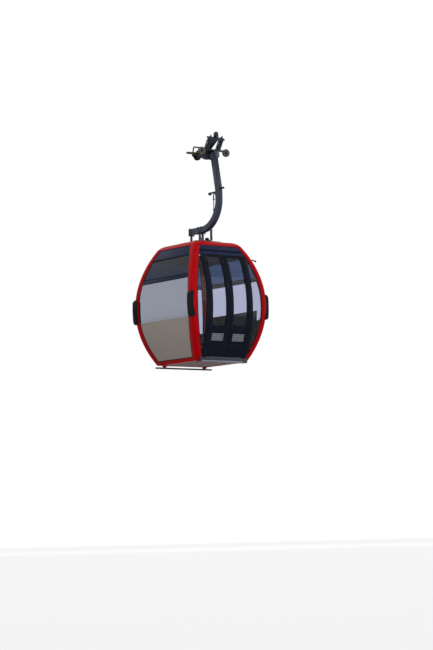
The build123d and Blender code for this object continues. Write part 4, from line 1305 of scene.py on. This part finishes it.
@dataclass
class CabinShell(Assembly):
    """Red frame, roof, glazing and their rubbers.

    Attributes:
        glass_inset: How far the panes lie inside the faces.
        header_inset: How far the headers lie inside the faces.
        rubber: Width of a glazing rubber.
        steps: Spans along a post's curve.
        roof_corner: Radius of the roof pan's corners.
        roof_edge: Distance of the roof pan's screws from its edge.
    """

    glass_inset: float = 0.010
    header_inset: float = 0.006
    rubber: float = 0.018
    steps: int = 26
    roof_corner: float = 0.070
    roof_edge: float = 0.031

    def build(self) -> None:
        """Builds the shell's pieces."""
        self.kit.refine("red_paint", corner_posts=0.003, top_frame=0.0, lower_frame=0.0)
        self.kit.refine("roof_grey", roof_pan=0.0)
        self.kit.refine("dark_rubber", bumpers=0.006)
        self.kit.refine("teal_panel", end_headers=0.002, side_headers=0.002, window_bars=0.002)
        self.films()
        self.panes()
        self.rubbers()
        self.joints()
        self.roof()
        self.small_fittings()

    def panes(self) -> None:
        """Glazes the bays: mirror glass at the rear, tinted glass above the bars, clear glass elsewhere."""
        mirror, clear, vents, beside = (Shape() for _ in range(4))
        for side, shape in ((Side.REAR, mirror), (Side.FRONT, clear), (Side.FAR, clear)):
            shape.sheet(side, between(SKIRT_Z, BAR_Z, 24), side.bay, self.glass_inset)
            vents.sheet(side, between(VENT_Z, HEADER_Z, 8), side.bay, self.glass_inset)
        rows = [z for z in between(SKIRT_Z, HEADER_Z, 32) if Side.DOOR.edge(z) > JAMB]
        for sign in (-1, 1):
            beside.sheet(
                Side.DOOR, rows, lambda z, sign=sign: between(sign * JAMB, sign * Side.DOOR.edge(z), 8),
                self.glass_inset,
            )
        mirror.settle("rear_film_pane", self.kit.ride("mirror_glass"), "main_panes")
        clear.settle("clear_main_panes", self.kit.ride("clear_glass"), "main_panes")
        vents.settle("tinted_vent_panes", self.kit.ride("tinted_glass"), "vent_panes")
        beside.settle("clear_side_panes", self.kit.ride("clear_glass"), "side_panes")

    def films(self) -> None:
        """Lays plain films over the lower part of the end panes, with dark backs inside."""
        films, backs = Shape(), Shape()
        for side, (shape, depth) in product((Side.REAR, Side.FRONT), ((films, -0.0014), (backs, 0.0062))):
            shape.sheet(side, between(SKIRT_Z, FILM_TOP, 12), side.bay, self.glass_inset + depth, 0.0012)
        films.settle("end_films", self.kit.ride("mirror_glass", finish="end_film"))
        backs.settle("end_film_backs", self.kit.ride("black_trim"))

    def rubbers(self) -> None:
        """Lays rubbers round every pane and along the headers' edges."""
        half, shape = self.rubber / 2, Shape()
        whole = product((Side.REAR, Side.FRONT, Side.FAR), ((SKIRT_Z, BAR_Z), (VENT_Z, HEADER_Z)), (0,))
        beside = product((Side.DOOR,), ((SKIRT_Z, HEADER_Z),), (-1, 1))
        for side, (low, high), sign in (*whole, *beside):
            levels = between(low + half, high - half, self.steps)
            outer = [((sign or 1) * (side.edge(z) - half), z) for z in levels]
            inner = [(sign * (JAMB + half) if sign else -x, z) for x, z in outer]
            shape.strip(side.path(inner + outer[::-1], self.glass_inset), self.rubber, 0.007)
        for side, (z, drop) in product(Side, ((TOP_FRAME_Z, 0.004), (HEADER_Z + 0.006, 0.0))):
            spots = [(x, z - drop) for x in side.bay(z)]
            shape.strip(side.path(spots, self.header_inset), 0.012, 0.005, closed=False)
        shape.settle("glazing_rubbers", self.kit.ride("dark_rubber"))

    def joints(self) -> None:
        """Marks the joints between the posts and the frames above and below them."""
        shape = Shape()
        corners = product((Side.REAR, Side.FRONT), (Side.DOOR, Side.FAR), (TOP_FRAME_Z, SKIRT_Z))
        for x_side, y_side, z in corners:
            sx, sy = x_side.value[1], y_side.value[1]
            x, y = x_side.reach(z) - CORNER_RADIUS, y_side.reach(z) - CORNER_RADIUS
            path = y_side.path([(sx * y_side.edge(z), z)], 0.0)
            for u, v in reversed(circle(1.0, 32)[:9]):
                place = (sx * (x + CORNER_RADIUS * u), CABIN_Y + sy * (y + CORNER_RADIUS * v), z)
                facing = Vector((sx * u, sy * v, (z - BARREL_Z) / BARREL_RADIUS))
                path.append((Vector(place), facing.normalized()))
            path += x_side.path([(sy * x_side.edge(z), z)], 0.0)
            shape.strip(path, 0.006, 0.0008, closed=False)
        shape.settle("post_joints", self.kit.ride("black_trim"))

    def roof(self) -> None:
        """Adds the roof pan's seal, screws and stiffening rails."""
        low, (half_x, high_y, top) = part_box("roof_pan")
        half_y = high_y - CABIN_Y
        rim = rounded_outline((-half_x, half_x), (CABIN_Y - half_y, CABIN_Y + half_y), self.roof_corner)
        seal = [(x, y, low[2] + 0.002) for x, y in rim]
        self.kit.beads("roof_seal", self.kit.ride("dark_rubber"), 0.005, [seal], closed=True, sides=8)
        screws = [(x, y * (half_y - self.roof_edge)) for x in (-0.2, -0.1, 0.1, 0.2) for y in (-1, 1)]
        screws += [(x * (half_x - self.roof_edge), y) for x in (-1, 1) for y in (-0.24, -0.08, 0.08, 0.24)]
        self.kit.bolts("roof_screws", 0.0060, 0.005, [((x, CABIN_Y + y, top), UP) for x, y in screws])
        rails = Shape()
        for x in (-0.105, 0.105):
            rails.block((x, CABIN_Y - 0.06, top + 0.004), (0.030, 0.54, 0.010), 0.003)
        rails.settle("roof_rails", self.kit.ride("roof_grey"))

    def small_fittings(self) -> None:
        """Adds the knob on the front post and the catch above the door."""
        knob, catch = Shape(), Shape()
        handle = [(0.0, 0.0), (0.016, 0.0), (0.011, 0.012), (0.010, 0.060), (0.017, 0.066), (0.019, 0.078)]
        foot = Side.FRONT.point(-0.770, -2.090) - Vector((0.004, 0.0, 0.0))
        knob.lathe([*handle, (0.015, 0.089), (0.0, 0.092)], turned(foot, (1.0, -0.15, -0.28)), 24)
        knob.settle("post_knob", self.kit.ride("black_trim"))
        dome = [(0.0, -0.001), (0.019, -0.001), (0.019, 0.004), (0.013, 0.009), (0.006, 0.0115), (0.0, 0.012)]
        [(foot, facing)] = Side.DOOR.path([(-0.551, -2.062)], self.glass_inset)
        catch.lathe(dome, turned(foot, facing), 28)
        catch.settle("door_catch", self.kit.ride("louvre_grey"))


@dataclass
class Doors(Assembly):
    """Door leaves, their rubbers, louvre bezels, threshold and sill.

    Attributes:
        gap: Half the gap between the leaves.
        foot: Height of the leaves' lower edge.
        window_across: Distances of a window's edges from the middle.
        window: Lowest and highest edge of the windows.
        louvre_across: Distances of a louvre opening's edges from the middle.
        louvre: Lowest and highest edge of the louvre openings.
        inset: How far the leaves lie inside the face.
        glass_inset: How far their panes lie inside the face.
        glass_corner: Radius of the panes' corners.
        thickness: Thickness of a leaf.
        span: Greatest height of a leaf's rows.
    """

    gap: float = 0.004
    foot: float = -3.989
    window_across: Span = (0.082, 0.411)
    window: Span = (-3.404, -2.062)
    louvre_across: Span = (0.100, 0.392)
    louvre: Span = (-3.699, -3.549)
    inset: float = 0.006
    glass_inset: float = 0.014
    glass_corner: float = 0.002
    thickness: float = 0.028
    span: float = 0.06

    def build(self) -> None:
        """Builds the doors' pieces."""
        self.kit.refine("dark_frame", door_jambs=0.002)
        self.kit.refine("sill_grey", door_sill=0.003)
        self.kit.refine("black_trim", door_track=0.002)
        self.leaves()
        self.glazing()
        self.rubbers()
        self.louvres()
        self.sill()

    def leaves(self) -> None:
        """Builds the curved leaves round their window and louvre openings."""
        stops = [self.foot, *self.louvre, *self.window, HEADER_Z]
        levels = [self.foot]
        for low, high in zip(stops, stops[1:]):
            levels += between(low, high, max(1, round((high - low) / self.span)))[1:]
        columns = sorted({self.gap, *self.window_across, *self.louvre_across, DOOR_HALF})
        openings = ((self.window_across, self.window), (self.louvre_across, self.louvre))
        shape = Shape()
        for places in ([-x for x in reversed(columns)], columns):
            shape.sheet(
                Side.DOOR, levels, lambda z, places=places: places, self.inset, self.thickness, openings,
                bevel=0.003,
            )
        shape.settle("curved_door_leaves", self.kit.ride("dark_frame"), "door_leaves")

    def glazing(self) -> None:
        """Glazes the leaves, with rounded corners."""
        (low, high), corner = self.window, self.glass_corner
        turns = [corner * (1 - math.cos(math.pi / 12 * n)) for n in range(7)]
        rows = [low + turn for turn in turns] + between(low + corner, high - corner, 24)[1:-1]
        rows += [high - turn for turn in reversed(turns)]

        def across(z: float, sign: int) -> list[float]:
            """Gives nine places across a pane, drawn in at its corners.

            Args:
                z: Height.
                sign: -1 for the rear leaf, 1 for the front one.

            Returns:
                The places, from the middle outward.
            """
            depth = max(0.0, corner - min(z - low, high - z))
            drawn_in = corner - math.sqrt(max(0.0, corner**2 - depth**2))
            inner, outer = self.window_across
            return between(sign * (inner + drawn_in), sign * (outer - drawn_in), 8)

        shape = Shape()
        for sign in (-1, 1):
            shape.sheet(Side.DOOR, rows, lambda z, sign=sign: across(z, sign), self.glass_inset)
        shape.settle("leaf_panes", self.kit.ride("clear_glass"), "door_glass")

    def around(self, across: Span, levels: Span, margin: float, corner: float, inset: float) -> list[Path]:
        """Gives the rounded outline of an opening on both leaves.

        Args:
            across: Distances of the opening's edges from the middle.
            levels: Lowest and highest edge of the opening.
            margin: How far the outline lies inside the opening.
            corner: Radius of its corners.
            inset: How far inside the face.

        Returns:
            The path on each leaf.
        """
        (left, right), (low, high) = across, levels
        inside = ((left + margin, right - margin), (low + margin, high - margin))
        outline = rounded_outline(*inside, corner, 24)
        return [Side.DOOR.path([(sign * x, z) for x, z in outline], inset) for sign in (-1, 1)]

    def rubbers(self) -> None:
        """Lays the rubbers of the windows, beside the jambs and between the leaves."""
        shape = Shape()
        for path in self.around(self.window_across, self.window, 0.003, 0.012, self.glass_inset):
            shape.strip(path, 0.010, 0.010)
        levels = between(SKIRT_Z + 0.02, HEADER_Z - 0.01, 26)
        for x, inset, width, rise in (
            (-DOOR_HALF, 0.007, 0.012, 0.005), (DOOR_HALF, 0.007, 0.012, 0.005), (0.0, 0.006, 0.016, 0.0045)
        ):
            shape.strip(Side.DOOR.path([(x, z) for z in levels], inset), width, rise, closed=False)
        shape.settle("door_rubbers", self.kit.ride("dark_rubber"))

    def louvres(self) -> None:
        """Frames the louvre openings and screws the frames on."""
        shape = Shape()
        for path in self.around(self.louvre_across, self.louvre, -0.004, 0.008, self.inset):
            shape.strip(path, 0.016, 0.005)
        shape.settle("louvre_bezels", self.kit.ride("dark_frame"))
        left, right, low, high = *self.louvre_across, *self.louvre
        across = (-right - 0.012, -left + 0.012, left - 0.012, right + 0.012)
        spots = product(across, (low + 0.02, high - 0.02))
        self.kit.bolts("louvre_screws", 0.0042, 0.004, Side.DOOR.path(spots, self.inset))

    def sill(self) -> None:
        """Adds the tread ribs, a bright metal strip painted in as the light on the sill's lower face, and the
        bolts of the sill.
        """
        low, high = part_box("door_sill")
        front = low[1]
        first, rib = (-0.546, front + 0.024, high[2] + 0.001), (0.010, 0.036, 0.004)
        self.kit.ribs("sill_tread", "threshold_alu", 40, first, (0.028, 0.0, 0.0), rib)
        # Painted light: a bright metal strip along the sill's lower front stands in for its lit lower face
        edge = Shape()
        edge.block((-0.040, front - 0.001, low[2] + 0.015), (2 * high[0] - 0.140, 0.008, 0.026))
        edge.settle("sill_painted_light_strip", self.kit.ride("threshold_alu"))
        level = low[2] + 0.6 * (high[2] - low[2])
        self.kit.bolts("sill_bolts", 0.0075, 0.007, [((x, front, level), OUT) for x in between(-0.5, 0.5, 5)])


@dataclass
class Underside(Assembly):
    """Floor, its fastenings and the far side's guide rail.

    Attributes:
        bracket: Distance of a bracket from the middle.
        cap: Sizes of the rail's end caps.
    """

    bracket: float = 0.480
    cap: Point = (0.0035, 0.0298, 0.0298)

    def build(self) -> None:
        """Builds the underside's pieces."""
        self.kit.refine("red_paint", rail_brackets=0.002)
        low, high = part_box("guide_rail")
        rail_y, rail_z = (low[1] + high[1]) / 2, (low[2] + high[2]) / 2
        caps = Shape()
        for side in (-1, 1):
            caps.block((side * (high[0] - 0.004 + self.cap[0] / 2), rail_y, rail_z), self.cap, 0.001)
        caps.settle("rail_ends", self.kit.ride("dark_rubber"))
        spots = [((x, CABIN_Y + y, FLOOR_Z), DOWN) for x in (-0.56, 0.56) for y in (-0.45, -0.15, 0.15, 0.45)]
        spots += [((x, high[1], rail_z), BACK) for x in (-self.bracket, self.bracket)]
        self.kit.bolts("floor_bolts", 0.0080, 0.008, spots)
        beams = Shape()
        for x in (-0.34, 0.0, 0.34):
            beams.block((x, CABIN_Y, FLOOR_Z - 0.004), (0.060, 1.10, 0.010), 0.003)
        beams.settle("floor_beams", self.kit.ride("floor_beige"))
        first, step = (0.0, CABIN_Y - 0.54, FLOOR_Z + 0.0315), (0.0, 0.0265, 0.0)
        self.kit.ribs("floor_mat", "dark_rubber", 42, first, step, (0.72, 0.012, 0.004))


@dataclass
class Seats(Assembly):
    """Benches with moulded seats and backs.

    Attributes:
        trim: Radius of the edge trims.
        front: Distance of a trim's middle from the cabin's.
        height: Height of a trim.
        half: Half a trim's length.
    """

    trim: float = 0.006
    front: float = 0.371
    height: float = -3.618
    half: float = 0.700

    def build(self) -> None:
        """Builds the benches' pieces."""
        self.kit.refine("seat_shell", benches=0.004, seat_backs=0.003)
        self.kit.refine("seat_plastic", seat_shells=0.0, back_shells=0.006)
        ends = (CABIN_Y - self.half, CABIN_Y + self.half)
        paths = [[(x, y, self.height) for y in ends] for x in (-self.front, self.front)]
        self.kit.beads("bench_trims", self.kit.ride("pin_steel"), self.trim, paths)


@dataclass
class Studio:
    """Floor, lights, world and the camera at the photograph's viewing angle.

    Attributes:
        place: Where the camera stands, in metres.
        look: Unit vector of its line of sight.
        upright: Unit vector of the picture's upright.
        focal_pixels: Focal length in pixels of the photograph.
        photo_height: Height of the photograph in pixels.
        sensor: Size of the sensor along the picture's height, in millimetres.
        floor_level: Height of the floor, a little under the camera.
        floor_half: Half the floor's side.
        middle: What the lamps face.
    """

    place: Point = (-25.5778, -34.1833, -7.5146)
    look: Point = (0.59964, 0.7943, 0.09758)
    upright: Point = (-0.03928, -0.09258, 0.99493)
    focal_pixels: float = 2223.88
    photo_height: float = 650.0
    sensor: float = 36.0
    floor_level: float = -7.60
    floor_half: float = 400.0
    middle: Point = (0.0, CABIN_Y, -2.2)

    def build(self) -> None:
        """Builds the whole studio."""
        self.camera()
        self.floor()
        self.lights()
        self.world()
        LOG.info("built the studio")

    def camera(self) -> None:
        """Places the camera."""
        data = bpy.data.cameras.new("camera")
        data.sensor_fit = "AUTO"
        data.sensor_width = self.sensor
        data.lens = self.focal_pixels / self.photo_height * self.sensor
        data.clip_end = 2000.0
        camera = bpy.data.objects.new("camera", data)
        look = Vector(self.look).normalized()
        right = look.cross(Vector(self.upright)).normalized()
        turn = Matrix((right, right.cross(look), -look)).transposed().to_4x4()
        camera.matrix_world = Matrix.Translation(self.place) @ turn
        bpy.context.collection.objects.link(camera)
        bpy.context.scene.camera = camera

    def floor(self) -> None:
        """Makes the plain pale floor, which the camera sees as nearly white and which keeps its shadow."""
        mesh = bpy.data.meshes.new("studio_floor")
        sides = (-self.floor_half, self.floor_half)
        corners = [(x, y, self.floor_level) for x, y in product(sides, sides)]
        mesh.from_pydata(corners, [], [(0, 2, 3, 1)])
        floor = bpy.data.objects.new("studio_floor", mesh)
        bpy.context.collection.objects.link(floor)
        surface = Surface("studio floor")
        surface.feed(surface.shader, {
            "Base Color": (0.26, 0.26, 0.265, 1.0),
            "Emission Color": surface.blend(surface.shown_ray(), NO_COLOUR, (0.71, 0.71, 0.715, 1.0)),
            "Emission Strength": 1.0,
            "Roughness": 0.9,
        })
        mesh.materials.append(surface.material)

    def lights(self) -> None:
        """Hangs large soft lamps round the object."""
        for name, place, size, power in (
            ("key", (-9.0, -12.0, 6.0), 8.0, 750.0),
            ("fill", (11.0, -9.0, 0.0), 9.0, 260.0),
            ("under", (-3.0, -6.0, -7.2), 6.0, 120.0),
        ):
            data = bpy.data.lights.new(name, "AREA")
            data.size = size
            data.energy = power
            lamp = bpy.data.objects.new(name, data)
            lamp.location = place
            lamp.rotation_mode = "QUATERNION"
            lamp.rotation_quaternion = (Vector(self.middle) - lamp.location).to_track_quat("-Z", "Y")
            lamp.visible_camera = False
            bpy.context.collection.objects.link(lamp)

    def world(self) -> None:
        """Sets an even world light that shows white to the camera and in reflections."""
        world = bpy.data.worlds.new("studio world")
        bpy.context.scene.world = world
        world.use_nodes = True
        graph = Graph(world.node_tree)
        strength = graph.plus(0.45, graph.times(graph.shown_ray(), 0.55))
        graph.feed(graph.tree.nodes["Background"], {"Strength": strength, "Color": (1.0, 1.0, 1.0, 1.0)})


def main() -> None:
    """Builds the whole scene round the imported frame."""
    logging.basicConfig(level=logging.INFO, format="%(message)s")
    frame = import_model()
    Studio().build()
    workshop = Workshop()
    dress_nodes(frame, workshop)
    kit = Kit(frame, workshop)
    for kind in (Grip, Hanger, CabinShell, Doors, Underside, Seats):
        LOG.info("building %s", kind.__name__)
        kind(kit).build()
    bpy.context.scene.view_settings.view_transform = "Standard"


if __name__ == "__main__":
    main()
